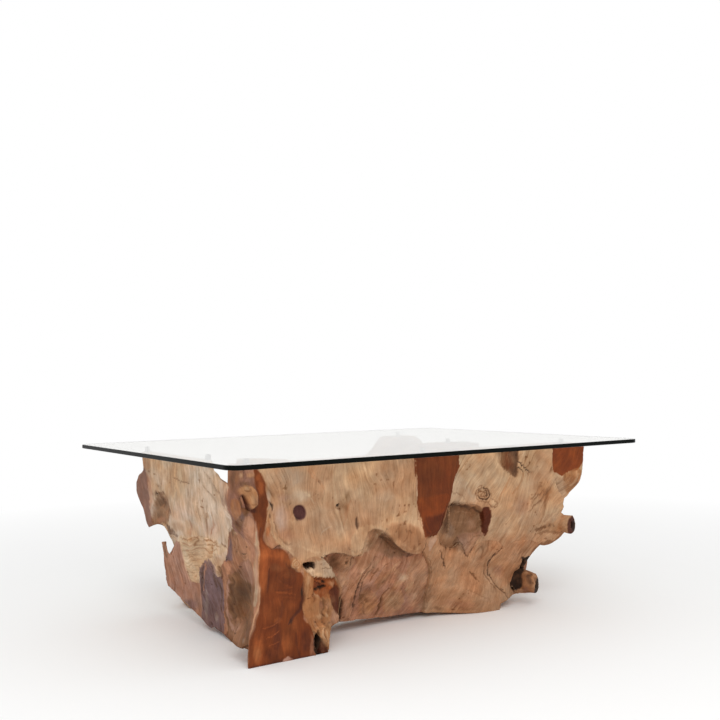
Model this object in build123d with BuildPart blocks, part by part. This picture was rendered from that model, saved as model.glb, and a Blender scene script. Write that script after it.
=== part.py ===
from build123d import *
import os
from math import cos, radians, sin

# Glass top coffee table on a hollow base of teak root pieces, in millimetres.
# +X runs along the long side, the long front faces -Y, +Z is up.
# The origin is on the floor, under the middle of the glass.

# Glass top
glass_length = 1200
glass_width = 900
glass_thickness = 10
glass_corner_radius = 32
glass_edge_round = 2
table_height = 430

# Rubber pads between the wood and the glass
pad_height = 12
pad_diameter = 12

# Root base, measured over everything
base_length = 1040
base_depth = 670
left_overhang = 70
front_overhang = 115

# Walls of the base
front_wall_thickness = 85
left_wall_thickness = 50
back_wall_thickness = 70
right_wall_thickness = 60
left_inset = 22
left_lean = 68
right_lean = 55
back_lean = 45
post_thickness = 74
burl_thickness = 100
insert_thickness = 93
bowl_depth = 58
glue_gap = 0.3
touching = 0.02
overrun = 5

# Hidden dowels
dowel_diameter = 12
dowel_length = 56
dowel_clearance = 0.15

# Natural holes, knots and stubs
knot_diameter = 33
knot_recess = 4
recess_depth = 22
upper_stub_radius = 23
lower_stub_radius = 24
stub_flare = 1.3
upper_stub_length = 88
lower_stub_length = 66
upper_stub_turn = 16
upper_saw_turn = 16
lower_stub_turn = 8
lower_saw_turn = 28
burl_hole_width = 26
burl_hole_height = 15
burl_hole_depth = 38
burl_hollow_width = 17
burl_hollow_height = 46
burl_hollow_depth = 42
pith_depth = 6
pith_share = 0.45
scoop_radius = 48
scoop_half_height = 96

# Places worked out from the sizes above
wood_height = table_height - glass_thickness - pad_height
base_left = left_overhang - glass_length / 2
base_front = front_overhang - glass_width / 2
base_back = base_front + base_depth
left_face = base_left + left_inset
reach = glass_length


def front(shares):
    """Points (x, z) from shares of the base's length and height, from its left end and the floor."""
    return [(base_left + share_x * base_length, share_z * wood_height) for share_x, share_z in shares]


def side(shares):
    """Points (y, z) from shares of the base's depth and height, from its front and the floor."""
    return [(base_front + share_y * base_depth, share_z * wood_height) for share_y, share_z in shares]


def plan(shares):
    """Points (x, y) from shares of the base's length and depth, from its front left corner."""
    return [(base_left + share_x * base_length, base_front + share_y * base_depth)
            for share_x, share_y in shares]


def shifted(points, across):
    """The same run of points, moved along its first axis."""
    return [(first + across, second) for first, second in points]


def closed_face(*runs):
    """Closed outline: a run of two points is straight, a longer one is a curve, gaps are straight."""
    with BuildLine() as outline:
        last = runs[-1][-1]
        for run in runs:
            if (Vector(*last) - Vector(*run[0])).length > touching:
                Line(last, run[0])
            if len(run) > 2:
                Spline(*run)
            else:
                Line(*run)
            last = run[-1]
    make_face(outline.edges())


def backwards(run):
    """The run from its end to its start."""
    return list(reversed(run))


# Seams and free edges of the front, as shares (along, up)
post_left_share = [(0.002, 1.0), (0.0, 0.92), (0.004, 0.81), (0.019, 0.725), (0.04, 0.63), (0.05, 0.53),
                   (0.05, 0.39), (0.042, 0.26), (0.029, 0.145), (0.023, 0.0)]
post_right_share = [(0.051, 1.0), (0.065, 0.9), (0.069, 0.835), (0.066, 0.735), (0.091, 0.62),
                    (0.126, 0.54), (0.145, 0.478)]
post_burl_share = [(0.145, 0.478), (0.153, 0.345), (0.149, 0.265), (0.172, 0.125), (0.169, 0.0)]
burl_top_share = [(0.145, 0.478), (0.173, 0.52), (0.201, 0.505)]
burl_right_share = [(0.201, 0.505), (0.218, 0.448), (0.235, 0.392), (0.244, 0.311), (0.24, 0.235),
                    (0.237, 0.152)]
burl_toe_share = [(0.237, 0.152), (0.221, 0.14), (0.213, 0.098), (0.211, 0.0)]
panel_foot_share = [(0.201, 0.505), (0.241, 0.52), (0.293, 0.505), (0.313, 0.593), (0.358, 0.615)]
lip_share = [(0.358, 0.615), (0.385, 0.544), (0.418, 0.485), (0.451, 0.456), (0.473, 0.53)]
insert_left_share = [(0.453, 1.0), (0.451, 0.84), (0.451, 0.755), (0.456, 0.657), (0.471, 0.583),
                     (0.473, 0.53)]
insert_tip_share = [(0.473, 0.53), (0.488, 0.549), (0.517, 0.578)]
insert_right_share = [(0.517, 0.578), (0.53, 0.623), (0.551, 0.762), (0.568, 0.912), (0.574, 1.0)]
centre_seam_share = [(0.473, 0.53), (0.506, 0.402), (0.529, 0.306), (0.54, 0.17), (0.548, 0.037)]
centre_foot_share = [(0.548, 0.037), (0.49, 0.042), (0.33, 0.07), (0.28, 0.085), (0.237, 0.152)]
ledge_share = [(0.517, 0.578), (0.543, 0.47), (0.565, 0.445), (0.593, 0.473)]
notch_share = [(0.593, 0.473), (0.633, 0.37)]
notch_rise_share = [(0.633, 0.37), (0.651, 0.446)]
shoulder_share = [(0.651, 0.446), (0.7, 0.46), (0.747, 0.4)]
crack_share = [(0.747, 0.4), (0.722, 0.345), (0.712, 0.29), (0.727, 0.186), (0.763, 0.1), (0.802, 0.0)]
lower_toe_share = [(0.548, 0.037), (0.68, 0.0)]
lower_foot_share = [(0.68, 0.0), (0.802, 0.0)]
stub_crown_share = [(0.747, 0.4), (0.797, 0.43), (0.874, 0.385)]
stub_side_share = [(0.874, 0.385), (0.853, 0.33), (0.842, 0.257), (0.846, 0.17), (0.843, 0.07),
                   (0.824, 0.0)]
branch_left_share = [(0.874, 0.385), (0.853, 0.47), (0.885, 0.56), (0.934, 0.62)]
branch_right_share = [(0.934, 0.62), (0.953, 0.56), (0.957, 0.47), (0.93, 0.395), (0.874, 0.385)]
corner_left_share = [(0.888, 1.0), (0.884, 0.87), (0.9, 0.74), (0.934, 0.62)]
corner_right_share = [(0.934, 0.62), (0.954, 0.662), (0.97, 0.723), (0.987, 0.797), (0.996, 0.912),
                      (1.0, 1.0)]

# How the front recedes towards the floor, as shares (back, up)
wall_face_share = [(0.0, 0.8), (0.003, 0.735), (0.025, 0.54), (0.06, 0.368), (0.109, 0.196),
                   (0.164, 0.0)]
centre_face_share = [(0.04, 0.64), (0.052, 0.52), (0.075, 0.37), (0.109, 0.245), (0.149, 0.123),
                     (0.185, 0.0)]
corner_face_share = [(0.0, 0.82), (0.012, 0.79), (0.045, 0.72), (0.06, 0.6)]

# Seams and free edges of the left end, as shares (back, up)
slab_back_share = [(0.846, 0.92), (0.872, 0.885), (0.936, 0.838), (0.957, 0.78), (0.951, 0.71),
                   (0.915, 0.642), (0.906, 0.578), (0.885, 0.532)]
slab_under_share = [(0.885, 0.532), (0.83, 0.555), (0.745, 0.578), (0.7, 0.535), (0.646, 0.537),
                    (0.622, 0.507)]
wedge_top_share = [(0.584, 0.51), (0.485, 0.556), (0.395, 0.578), (0.309, 0.572)]
lobe_left_share = [(0.309, 0.572), (0.348, 0.475), (0.388, 0.455)]
lobe_tip_share = [(0.388, 0.455), (0.358, 0.382), (0.331, 0.36), (0.284, 0.441)]
lobe_right_share = [(0.284, 0.441), (0.235, 0.49), (0.197, 0.588), (0.167, 0.676)]
slab_front_share = [(0.112, 0.676), (0.112, 0.8), (0.136, 0.905), (0.181, 0.93), (0.2, 0.965),
                    (0.239, 1.0)]
slab_top_share = [(0.239, 1.0), (0.851, 1.0)]
wedge_right_share = [(0.388, 0.455), (0.41, 0.426), (0.451, 0.341), (0.464, 0.318)]
wedge_left_share = [(0.464, 0.318), (0.515, 0.275), (0.56, 0.285), (0.576, 0.36), (0.584, 0.51)]
plate_seam_share = [(0.464, 0.318), (0.47, 0.24), (0.475, 0.15), (0.461, 0.026)]
plate_notch_share = [(0.622, 0.507), (0.669, 0.439), (0.71, 0.397), (0.728, 0.417), (0.779, 0.46)]
plate_back_share = [(0.779, 0.46), (0.781, 0.363), (0.806, 0.225), (0.81, 0.179)]
plate_foot_share = [(0.81, 0.179), (0.751, 0.152), (0.627, 0.096), (0.536, 0.059), (0.461, 0.026)]
fin_seam_share = [(0.284, 0.441), (0.301, 0.306), (0.327, 0.169), (0.336, 0.042), (0.315, 0.0)]
fin_foot_share = [(0.315, 0.0), (0.388, 0.022), (0.461, 0.026)]
bowl_foot_share = [(0.315, 0.0), (0.2, 0.0), (0.112, 0.04)]
bowl_front_share = [(0.112, 0.676), (0.112, 0.04)]

# How the left end leans in towards the floor, as shares (of the lean, up)
left_face_share = [(0.0, 1.0), (0.09, 0.858), (0.235, 0.711), (0.41, 0.527), (0.65, 0.343), (1.0, 0.0)]
slab_inside_share = [(0.36, 1.0), (0.7, 0.9), (1.0, 0.74), (1.0, 0.5), (1.0, 0.0)]

# Seams and free edges of the back, as shares (along, up)
back_left_top_share = [(0.09, 0.78), (0.14, 0.81), (0.19, 0.74), (0.235, 0.62)]
back_left_seam_share = [(0.235, 0.62), (0.25, 0.5), (0.235, 0.3), (0.25, 0.0)]
back_left_edge_share = [(0.14, 0.0), (0.15, 0.25), (0.125, 0.45), (0.101, 0.58), (0.094, 0.68),
                        (0.09, 0.78)]
back_notch_share = [(0.235, 0.62), (0.3, 0.6), (0.38, 0.64), (0.44, 0.76), (0.5, 0.83)]
back_centre_right_share = [(0.5, 0.83), (0.52, 0.6), (0.49, 0.35), (0.515, 0.09)]
back_centre_foot_share = [(0.515, 0.09), (0.42, 0.13), (0.33, 0.07), (0.25, 0.0)]
back_right_top_share = [(0.5, 0.83), (0.6, 0.8), (0.7, 0.82), (0.77, 0.88)]
back_right_edge_share = [(0.77, 0.88), (0.79, 0.6), (0.76, 0.35), (0.78, 0.0)]
back_right_foot_share = [(0.78, 0.0), (0.66, 0.0), (0.59, 0.06), (0.515, 0.09)]
corner_root_top_share = [(0.82, 1.0), (0.9, 1.0)]
corner_root_side_share = [(0.9, 1.0), (0.95, 0.86), (0.965, 0.66), (0.93, 0.4), (0.955, 0.12),
                          (0.93, 0.0)]
back_face_share = [(0.0, 1.0), (0.1, 0.8), (0.35, 0.5), (0.75, 0.2), (1.0, 0.0)]

# Seams and free edges of the right end, as shares (back, up)
right_slab_share = [(0.128, 0.92), (0.2, 0.84), (0.36, 0.8), (0.52, 0.84), (0.7, 0.8), (0.88, 0.74)]
right_slab_back_share = [(0.88, 0.74), (0.865, 0.46)]
right_seam_share = [(0.865, 0.46), (0.74, 0.42), (0.6, 0.5), (0.44, 0.44), (0.31, 0.47)]
right_slab_foot_share = [(0.31, 0.47), (0.26, 0.52), (0.188, 0.6)]
right_root_back_share = [(0.865, 0.46), (0.822, 0.0)]
right_root_foot_share = [(0.822, 0.0), (0.74, 0.0), (0.66, 0.09), (0.5, 0.11), (0.42, 0.0), (0.3, 0.0)]
right_root_front_share = [(0.3, 0.0), (0.27, 0.2), (0.31, 0.47)]
right_face_share = [(0.0, 1.0), (0.02, 0.7), (0.3, 0.45), (0.7, 0.2), (1.0, 0.0)]

# The arm behind the wedge insert and the knob behind the post, seen from above
arm_root_share = [(0.574, 0.137), (0.64, 0.137)]
arm_near_share = [(0.64, 0.137), (0.72, 0.18), (0.8, 0.28), (0.828, 0.42)]
arm_far_share = [(0.828, 0.42), (0.77, 0.47), (0.708, 0.468), (0.62, 0.37), (0.52, 0.22), (0.454, 0.13)]
arm_under_share = [(0.0, 0.72), (0.15, 0.72), (0.3, 0.76), (0.48, 0.83), (1.0, 0.86)]
arm_above_share = [(1.0, 1.0), (0.0, 1.0)]
knob_share = [(0.092, 0.08), (0.088, 0.18), (0.1, 0.28), (0.128, 0.25), (0.135, 0.08)]
knob_height_share = 0.24

# How the inner face of the front left panel swells, seen from above
panel_inside_share = [(0.05, 0.108), (0.1, 0.105), (0.16, 0.09), (0.26, 0.08), (0.36, 0.1),
                      (0.48, 0.125)]
panel_face_share = [(0.52, 0.0), (0.0, 0.0)]

# Centres of the natural features on the front, as shares (along, up)
knot_share = (0.143, 0.762)
burl_hole_share = (0.162, 0.482)
burl_hollow_share = (0.184, 0.08)
recess_share = [(0.55, 0.7), (0.6, 0.71), (0.657, 0.66), (0.664, 0.55), (0.628, 0.485), (0.56, 0.5)]
stub_hole_share = [(0.828, 0.31), (0.838, 0.25), (0.835, 0.22), (0.838, 0.1), (0.815, 0.09),
                   (0.802, 0.13), (0.807, 0.18), (0.825, 0.22)]
upper_stub_share = (0.953, 0.011, 0.507)
lower_stub_share = (0.838, 0.035, 0.152)
scoop_share = (0.02, 0.215, 0.33)

# Middles of the pads, seen from above, as shares (along, back)
pad_places_share = [(0.032, 0.835), (0.032, 0.3), (0.04, 0.05), (0.5, 0.06), (0.76, 0.4), (0.95, 0.05),
                    (0.86, 0.95)]

# Dowels: the wall that each lies in, its middle as shares (along, up), its axis, and the kinds of the
# two pieces whose common thickness holds it
dowel_place_shares = {
    "post_panel": ("front", 0.068, 0.81, Axis.X, ("post", "panel")),
    "post_burl": ("front", 0.151, 0.32, Axis.X, ("post", "burl")),
    "panel_insert_high": ("front", 0.452, 0.88, Axis.X, ("panel", "insert")),
    "panel_insert_low": ("front", 0.452, 0.72, Axis.X, ("panel", "insert")),
    "panel_centre_left": ("front", 0.28, 0.507, Axis.Z, ("panel", "centre")),
    "panel_centre_right": ("front", 0.34, 0.6, Axis.Z, ("panel", "centre")),
    "insert_right_high": ("front", 0.565, 0.88, Axis.X, ("insert", "right")),
    "insert_right_low": ("front", 0.545, 0.72, Axis.X, ("insert", "right")),
    "centre_lower": ("front", 0.533, 0.26, Axis.X, ("centre", "right")),
    "burl_centre": ("front", 0.242, 0.32, Axis.X, ("burl", "centre")),
    "right_lower_near": ("front", 0.575, 0.45, Axis.Z, ("right", "right")),
    "right_lower_far": ("front", 0.69, 0.455, Axis.Z, ("right", "right")),
    "lower_stub": ("front", 0.715, 0.25, Axis.X, ("right", "right")),
    "right_corner": ("front", 0.886, 0.9, Axis.X, ("right", "corner")),
    "right_branch": ("front", 0.864, 0.5, Axis.X, ("right", "right")),
    "post_slab": ("left", 0.112, 0.83, Axis.Y, ("slab", "slab")),
    "post_bowl": ("left", 0.112, 0.36, Axis.Y, ("bowl", "bowl")),
    "slab_wedge": ("left", 0.45, 0.564, Axis.Z, ("slab", "slab")),
    "slab_plate": ("left", 0.603, 0.508, Axis.Z, ("slab", "slab")),
    "slab_bowl": ("left", 0.21, 0.56, Axis.Z, ("slab", "bowl")),
    "plate_fin": ("left", 0.485, 0.14, Axis.Y, ("slab", "slab")),
    "fin_bowl": ("left", 0.322, 0.2, Axis.Y, ("slab", "bowl")),
    "wedge_plate": ("left", 0.53, 0.276, Axis.Z, ("slab", "slab")),
    "slab_back": ("inside left", 0.9, 0.66, Axis.X, ("slab", "slab")),
    "back_left_centre": ("back", 0.243, 0.42, Axis.X, ("back", "back")),
    "back_centre_right": ("back", 0.508, 0.48, Axis.X, ("back", "back")),
    "back_right_corner": ("back", 0.783, 0.52, Axis.X, ("back", "back")),
    "corner_slab": ("right", 0.14, 0.78, Axis.Y, ("end", "end")),
    "right_slab_root": ("right", 0.68, 0.45, Axis.Z, ("end", "end")),
}
flush_thicknesses = {"post": post_thickness, "burl": burl_thickness, "insert": insert_thickness}
receding_face_shares = {"right": wall_face_share, "centre": centre_face_share, "corner": corner_face_share}
leaning_thicknesses = {"slab": left_wall_thickness, "bowl": bowl_depth}


def place(shares):
    """Point from shares of the base's length, depth and height."""
    share_x, share_y, share_z = shares
    along = base_left + share_x * base_length
    back = base_front + share_y * base_depth
    return (along, back, share_z * wood_height)


def read_off(run, at):
    """Second value of a run of pairs where the first value is as given, straight between the pairs."""
    for (start, first), (end, last) in zip(run, run[1:]):
        if min(start, end) <= at <= max(start, end):
            return first + (last - first) * (at - start) / (end - start)
    return run[0][1]


def at_height(face_share, up):
    """How far a profile has gone back at a share of the height."""
    return read_off([(height, back) for back, height in face_share], up)


def solid_range(kind, along, up):
    """Depths behind a wall's outer plane, from where to where this kind of piece is solid."""
    if kind in flush_thicknesses:
        return 0, flush_thicknesses[kind]
    if kind == "panel":
        return 0, read_off(panel_inside_share, along) * base_depth
    if kind in receding_face_shares:
        outer = at_height(receding_face_shares[kind], up) * base_depth
        return outer, outer + front_wall_thickness
    if kind in leaning_thicknesses:
        inner = at_height(slab_inside_share, up) * leaning_thicknesses[kind] + (1 - up) * left_lean
        return at_height(left_face_share, up) * left_lean, inner
    if kind == "back":
        outer = at_height(back_face_share, up) * back_lean
        return outer, outer + back_wall_thickness
    outer = at_height(right_face_share, up) * right_lean
    return outer, outer + right_wall_thickness


def dowel_plane(joint):
    """Plane in the middle of a dowel, square to it, halfway through what both its pieces hold."""
    wall, along, up, axis, kinds = dowel_place_shares[joint]
    outers, inners = zip(*[solid_range(kind, along, up) for kind in kinds])
    depth = (max(outers) + min(inners)) / 2
    x, y, z = place((along, along, up))
    centres = {
        "front": (x, base_front + depth, z),
        "back": (x, base_back - depth, z),
        "left": (left_face + depth, y, z),
        "inside left": (left_face + min(inners), y, z),
        "right": (base_left + base_length - depth, y, z),
    }
    return Plane(origin=centres[wall], z_dir=axis.direction)


def bore(*joints):
    """Blind dowel holes in the piece being made, half of each hole in either neighbour."""
    for joint in joints:
        with BuildSketch(dowel_plane(joint)) as mouth:
            Circle(dowel_diameter / 2 + dowel_clearance)
        extrude(mouth.sketch, amount=dowel_length / 2 + dowel_clearance, both=True, mode=Mode.SUBTRACT)


def outline_block(plane, thickness, *runs):
    """A root piece's outline, sawn square through the thickness of its wall."""
    with BuildSketch(plane) as outline:
        closed_face(*runs)
    extrude(outline.sketch, amount=thickness)


def keep_profile(plane, *runs):
    """Keeps what lies inside a profile that runs through the whole piece."""
    with BuildSketch(plane) as profile:
        closed_face(*runs)
    extrude(profile.sketch, amount=reach, both=True, mode=Mode.INTERSECT)


def front_profile(face_share, thickness):
    """Side view of a front piece: its receding face, and its inner face a wall behind."""
    curve = side(face_share)
    straight = [(base_front, wood_height), curve[0]]
    keep_profile(Plane.YZ, straight, curve, backwards(shifted(curve, thickness)),
                 backwards(shifted(straight, thickness)))


def left_profile(inside_share, thickness):
    """End view of a left piece: its leaning face, and its inner face."""
    face = [(left_face + share * left_lean, up * wood_height) for share, up in left_face_share]
    inside = [(left_face + share * thickness + (1 - up) * left_lean, up * wood_height)
              for share, up in inside_share]
    keep_profile(Plane.XZ, face, backwards(inside))


def heading(turn):
    """Level direction forward, turned to the right by some degrees."""
    return Vector(sin(radians(turn)), -cos(radians(turn)), 0)


def hollow(share, width, height, depth):
    """Round or oval hollow in the front of the piece being made."""
    with BuildSketch(front_plane) as mouth:
        with Locations(*front([share])):
            Ellipse(width / 2, height / 2)
    extrude(mouth.sketch, amount=-depth, mode=Mode.SUBTRACT)


def stub(share, length, radius, turn, saw_turn):
    """Round root stub that points forward and to the right, with a sawn end and a soft pith."""
    sawn_end = Plane(origin=place(share), z_dir=heading(saw_turn))
    root_centre = Vector(*place(share)) - heading(turn) * length
    with BuildSketch(sawn_end) as end_face:
        Circle(radius)
    with BuildSketch(Plane(origin=root_centre, z_dir=heading(turn))) as root_face:
        Circle(radius * stub_flare)
    loft([end_face.sketch.face(), root_face.sketch.face()])
    with BuildSketch(sawn_end) as pith:
        Circle(radius * pith_share)
    extrude(pith.sketch, amount=-pith_depth, mode=Mode.SUBTRACT)


def back_profile():
    """End view of a back piece: its leaning outer face, and its inner face."""
    outer = [(base_back - share * back_lean, up * wood_height) for share, up in back_face_share]
    keep_profile(Plane.YZ, outer, backwards(shifted(outer, -back_wall_thickness)))


def right_profile():
    """Front view of a right end piece: its leaning outer face, and its inner face."""
    right_face = base_left + base_length
    outer = [(right_face - share * right_lean, up * wood_height) for share, up in right_face_share]
    keep_profile(Plane.XZ, outer, backwards(shifted(outer, -right_wall_thickness)))


front_plane = Plane.XZ.offset(-base_front)
back_plane = Plane.XZ.offset(-base_back)
left_plane = Plane.YZ.offset(left_face - overrun)
right_plane = Plane.YZ.offset(base_left + base_length)
top_plane = Plane.XY.offset(wood_height)

# Glass
with BuildPart() as glass_top:
    with BuildSketch(Plane.XY.offset(table_height - glass_thickness)):
        RectangleRounded(glass_length, glass_width, glass_corner_radius)
    extrude(amount=glass_thickness)
    fillet(glass_top.faces().filter_by(Axis.Z).edges(), glass_edge_round)

# Post at the front left corner, with its sawn red face and foot
with BuildPart() as corner_post:
    outline_block(front_plane, -post_thickness, front(post_left_share), backwards(front(post_burl_share)),
                  backwards(front(post_right_share)))
    bore("post_panel", "post_burl", "post_slab", "post_bowl")

# Gnarled burl beside the foot, with its two dark hollows
with BuildPart() as gnarled_burl:
    outline_block(front_plane, -burl_thickness, front(post_burl_share), backwards(front(burl_toe_share)),
                  backwards(front(burl_right_share)), backwards(front(burl_top_share)))
    hollow(burl_hole_share, burl_hole_width, burl_hole_height, burl_hole_depth)
    hollow(burl_hollow_share, burl_hollow_width, burl_hollow_height, burl_hollow_depth)
    bore("post_burl", "burl_centre")

# Upper left panel with its overhanging lip, its round knot, and a root knob behind its left end
with BuildPart() as front_left_panel:
    outline_block(front_plane, -front_wall_thickness, front(post_right_share), front(burl_top_share),
                  front(panel_foot_share), front(lip_share), backwards(front(insert_left_share)))
    keep_profile(Plane.XY, plan(panel_inside_share), plan(panel_face_share))
    with BuildSketch(top_plane):
        closed_face(plan(knob_share))
    extrude(amount=-knob_height_share * wood_height)
    hollow(knot_share, knot_diameter, knot_diameter, knot_recess)
    hollow(burl_hole_share, burl_hole_width, burl_hole_height, burl_hole_depth)
    bore("post_panel", "panel_insert_high", "panel_insert_low", "panel_centre_left", "panel_centre_right")

# Wedge insert with the arm behind it that carries the middle of the glass
with BuildPart() as wedge_arm:
    with BuildSketch(top_plane):
        closed_face(plan(arm_root_share), plan(arm_near_share), plan(arm_far_share))
    extrude(amount=-wood_height)
    keep_profile(Plane.YZ, side(arm_under_share), side(arm_above_share))
    outline_block(front_plane, -insert_thickness, front(insert_left_share), front(insert_tip_share),
                  front(insert_right_share))
    bore("panel_insert_high", "panel_insert_low", "insert_right_high", "insert_right_low")

# Upper right panel with the shadowed recess beside the insert
with BuildPart() as front_right_panel:
    outline_block(front_plane, -reach, front(insert_right_share), front(corner_left_share),
                  backwards(front(branch_left_share)), backwards(front(stub_crown_share)),
                  backwards(front(shoulder_share)), backwards(front(notch_rise_share)),
                  backwards(front(notch_share)), backwards(front(ledge_share)))
    front_profile(wall_face_share, front_wall_thickness)
    with BuildSketch(front_plane):
        closed_face(front(recess_share))
    extrude(amount=-recess_depth, mode=Mode.SUBTRACT)
    bore("insert_right_high", "insert_right_low", "right_lower_near", "right_lower_far", "right_corner",
         "right_branch")

# Block at the front right corner with a sawn red facet
with BuildPart() as right_corner_block:
    outline_block(front_plane, -reach, front(corner_left_share), front(corner_right_share))
    front_profile(corner_face_share, front_wall_thickness)
    bore("right_corner", "corner_slab")

# Branch at the right with the upper sawn stub
with BuildPart() as upper_stub_root:
    outline_block(front_plane, -reach, front(branch_left_share), front(branch_right_share))
    front_profile(wall_face_share, front_wall_thickness)
    stub(upper_stub_share, upper_stub_length, upper_stub_radius, upper_stub_turn, upper_saw_turn)
    bore("right_branch")

# Root under the lip, in the middle of the front
with BuildPart() as lower_centre_root:
    outline_block(front_plane, -reach, front(burl_right_share), backwards(front(centre_foot_share)),
                  backwards(front(centre_seam_share)), backwards(front(lip_share)),
                  backwards(front(panel_foot_share)))
    front_profile(centre_face_share, front_wall_thickness)
    bore("burl_centre", "panel_centre_left", "panel_centre_right", "centre_lower")

# Lower right root that stands on the floor
with BuildPart() as lower_right_root:
    outline_block(front_plane, -reach, front(centre_seam_share), front(lower_toe_share),
                  front(lower_foot_share), backwards(front(crack_share)),
                  backwards(front(shoulder_share)), backwards(front(notch_rise_share)),
                  backwards(front(notch_share)), backwards(front(ledge_share)),
                  backwards(front(insert_tip_share)))
    front_profile(wall_face_share, front_wall_thickness)
    bore("centre_lower", "right_lower_near", "right_lower_far", "lower_stub")

# Root at the right with the dark hole and the lower sawn stub
with BuildPart() as lower_stub_root:
    outline_block(front_plane, -reach, front(crack_share), backwards(front(stub_side_share)),
                  backwards(front(stub_crown_share)))
    front_profile(wall_face_share, front_wall_thickness)
    with BuildSketch(front_plane):
        closed_face(front(stub_hole_share))
    extrude(amount=-reach, mode=Mode.SUBTRACT)
    stub(lower_stub_share, lower_stub_length, lower_stub_radius, lower_stub_turn, lower_saw_turn)
    bore("lower_stub")

# Pale slab at the top of the left end
with BuildPart() as left_slab:
    outline_block(left_plane, reach, side(slab_back_share), side(slab_under_share), side(wedge_top_share),
                  side(lobe_left_share), side(lobe_tip_share), side(lobe_right_share),
                  side(slab_front_share), side(slab_top_share))
    left_profile(slab_inside_share, left_wall_thickness)
    bore("post_slab", "slab_wedge", "slab_plate", "slab_bowl", "slab_back")

# Cream fibrous wedge under the slab
with BuildPart() as fibrous_wedge:
    outline_block(left_plane, reach, side(wedge_top_share), side(lobe_left_share), side(wedge_right_share),
                  side(wedge_left_share))
    left_profile(slab_inside_share, left_wall_thickness)
    bore("slab_wedge", "wedge_plate")

# Lower plate of the left end
with BuildPart() as left_lower_plate:
    outline_block(left_plane, reach, backwards(side(wedge_left_share)), side(plate_seam_share),
                  backwards(side(plate_foot_share)), backwards(side(plate_back_share)),
                  backwards(side(plate_notch_share)))
    left_profile(slab_inside_share, left_wall_thickness)
    bore("slab_plate", "wedge_plate", "plate_fin")

# Grey upright fins of the left end
with BuildPart() as grey_fin_root:
    outline_block(left_plane, reach, side(wedge_right_share), side(plate_seam_share),
                  backwards(side(fin_foot_share)), backwards(side(fin_seam_share)),
                  backwards(side(lobe_tip_share)))
    left_profile(slab_inside_share, left_wall_thickness)
    bore("plate_fin", "fin_bowl")

# Hollow bowl between the left end and the post
with BuildPart() as hollow_bowl_root:
    outline_block(left_plane, reach, side(lobe_right_share), side(bowl_front_share),
                  backwards(side(bowl_foot_share)), backwards(side(fin_seam_share)))
    left_profile(slab_inside_share, bowl_depth)
    scoop_middle = Vector(*place(scoop_share))
    with BuildSketch(Plane.XZ.offset(-scoop_middle.Y)):
        with Locations((scoop_middle.X, scoop_middle.Z)):
            Ellipse(scoop_radius, scoop_half_height)
            Rectangle(scoop_radius, 2 * scoop_half_height, align=(Align.MAX, Align.CENTER),
                      mode=Mode.SUBTRACT)
    revolve(axis=Axis(scoop_middle, (0, 0, 1)), mode=Mode.SUBTRACT)
    bore("post_bowl", "fin_bowl", "slab_bowl")

# Back of the base: three roots with a low notch between the first two
with BuildPart() as back_left_root:
    outline_block(back_plane, reach, front(back_left_top_share), front(back_left_seam_share),
                  front(back_left_edge_share))
    back_profile()
    bore("back_left_centre", "slab_back")

with BuildPart() as back_centre_root:
    outline_block(back_plane, reach, front(back_notch_share), front(back_centre_right_share),
                  front(back_centre_foot_share), backwards(front(back_left_seam_share)))
    back_profile()
    bore("back_left_centre", "back_centre_right")

with BuildPart() as back_right_root:
    outline_block(back_plane, reach, front(back_right_top_share), front(back_right_edge_share),
                  front(back_right_foot_share), backwards(front(back_centre_right_share)))
    back_profile()
    bore("back_centre_right", "back_right_corner")

# Root at the back right corner, up to the glass
with BuildPart() as back_corner_root:
    outline_block(back_plane, reach, front(corner_root_top_share), front(corner_root_side_share),
                  backwards(front(back_right_edge_share)))
    back_profile()
    bore("back_right_corner")

# Right end: a slab above and a root below
with BuildPart() as right_end_slab:
    block_back = shifted(side(corner_face_share), front_wall_thickness + glue_gap)
    outline_block(right_plane, -reach, backwards(block_back), side(right_slab_share),
                  side(right_slab_back_share), side(right_seam_share), side(right_slab_foot_share))
    right_profile()
    bore("right_slab_root", "corner_slab")

with BuildPart() as right_end_root:
    outline_block(right_plane, -reach, side(right_root_back_share), side(right_root_foot_share),
                  side(right_root_front_share), backwards(side(right_seam_share)))
    right_profile()
    bore("right_slab_root")

# Pads on the sawn tops, under the glass
with BuildPart() as glass_pads:
    with BuildSketch(top_plane):
        with Locations(*plan(pad_places_share)):
            Circle(pad_diameter / 2)
    extrude(amount=pad_height)

# Dowels in their blind holes
with BuildPart() as joint_dowels:
    for joint in dowel_place_shares:
        with BuildSketch(dowel_plane(joint)):
            Circle(dowel_diameter / 2)
        extrude(amount=dowel_length / 2, both=True)

pieces = {
    "glass_top": glass_top,
    "glass_pads": glass_pads,
    "corner_post": corner_post,
    "gnarled_burl": gnarled_burl,
    "front_left_panel": front_left_panel,
    "wedge_arm": wedge_arm,
    "front_right_panel": front_right_panel,
    "right_corner_block": right_corner_block,
    "upper_stub_root": upper_stub_root,
    "lower_centre_root": lower_centre_root,
    "lower_right_root": lower_right_root,
    "lower_stub_root": lower_stub_root,
    "left_slab": left_slab,
    "fibrous_wedge": fibrous_wedge,
    "left_lower_plate": left_lower_plate,
    "grey_fin_root": grey_fin_root,
    "hollow_bowl_root": hollow_bowl_root,
    "back_left_root": back_left_root,
    "back_centre_root": back_centre_root,
    "back_right_root": back_right_root,
    "back_corner_root": back_corner_root,
    "right_end_slab": right_end_slab,
    "right_end_root": right_end_root,
    "joint_dowels": joint_dowels,
}
os.makedirs("parts", exist_ok=True)
for name, piece in pieces.items():
    piece.part.label = name
    export_step(piece.part, f"parts/{name}.step")
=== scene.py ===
from math import cos, pi, radians, sin

import bmesh
import bpy
import numpy as np
from mathutils import Matrix, Vector


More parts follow.
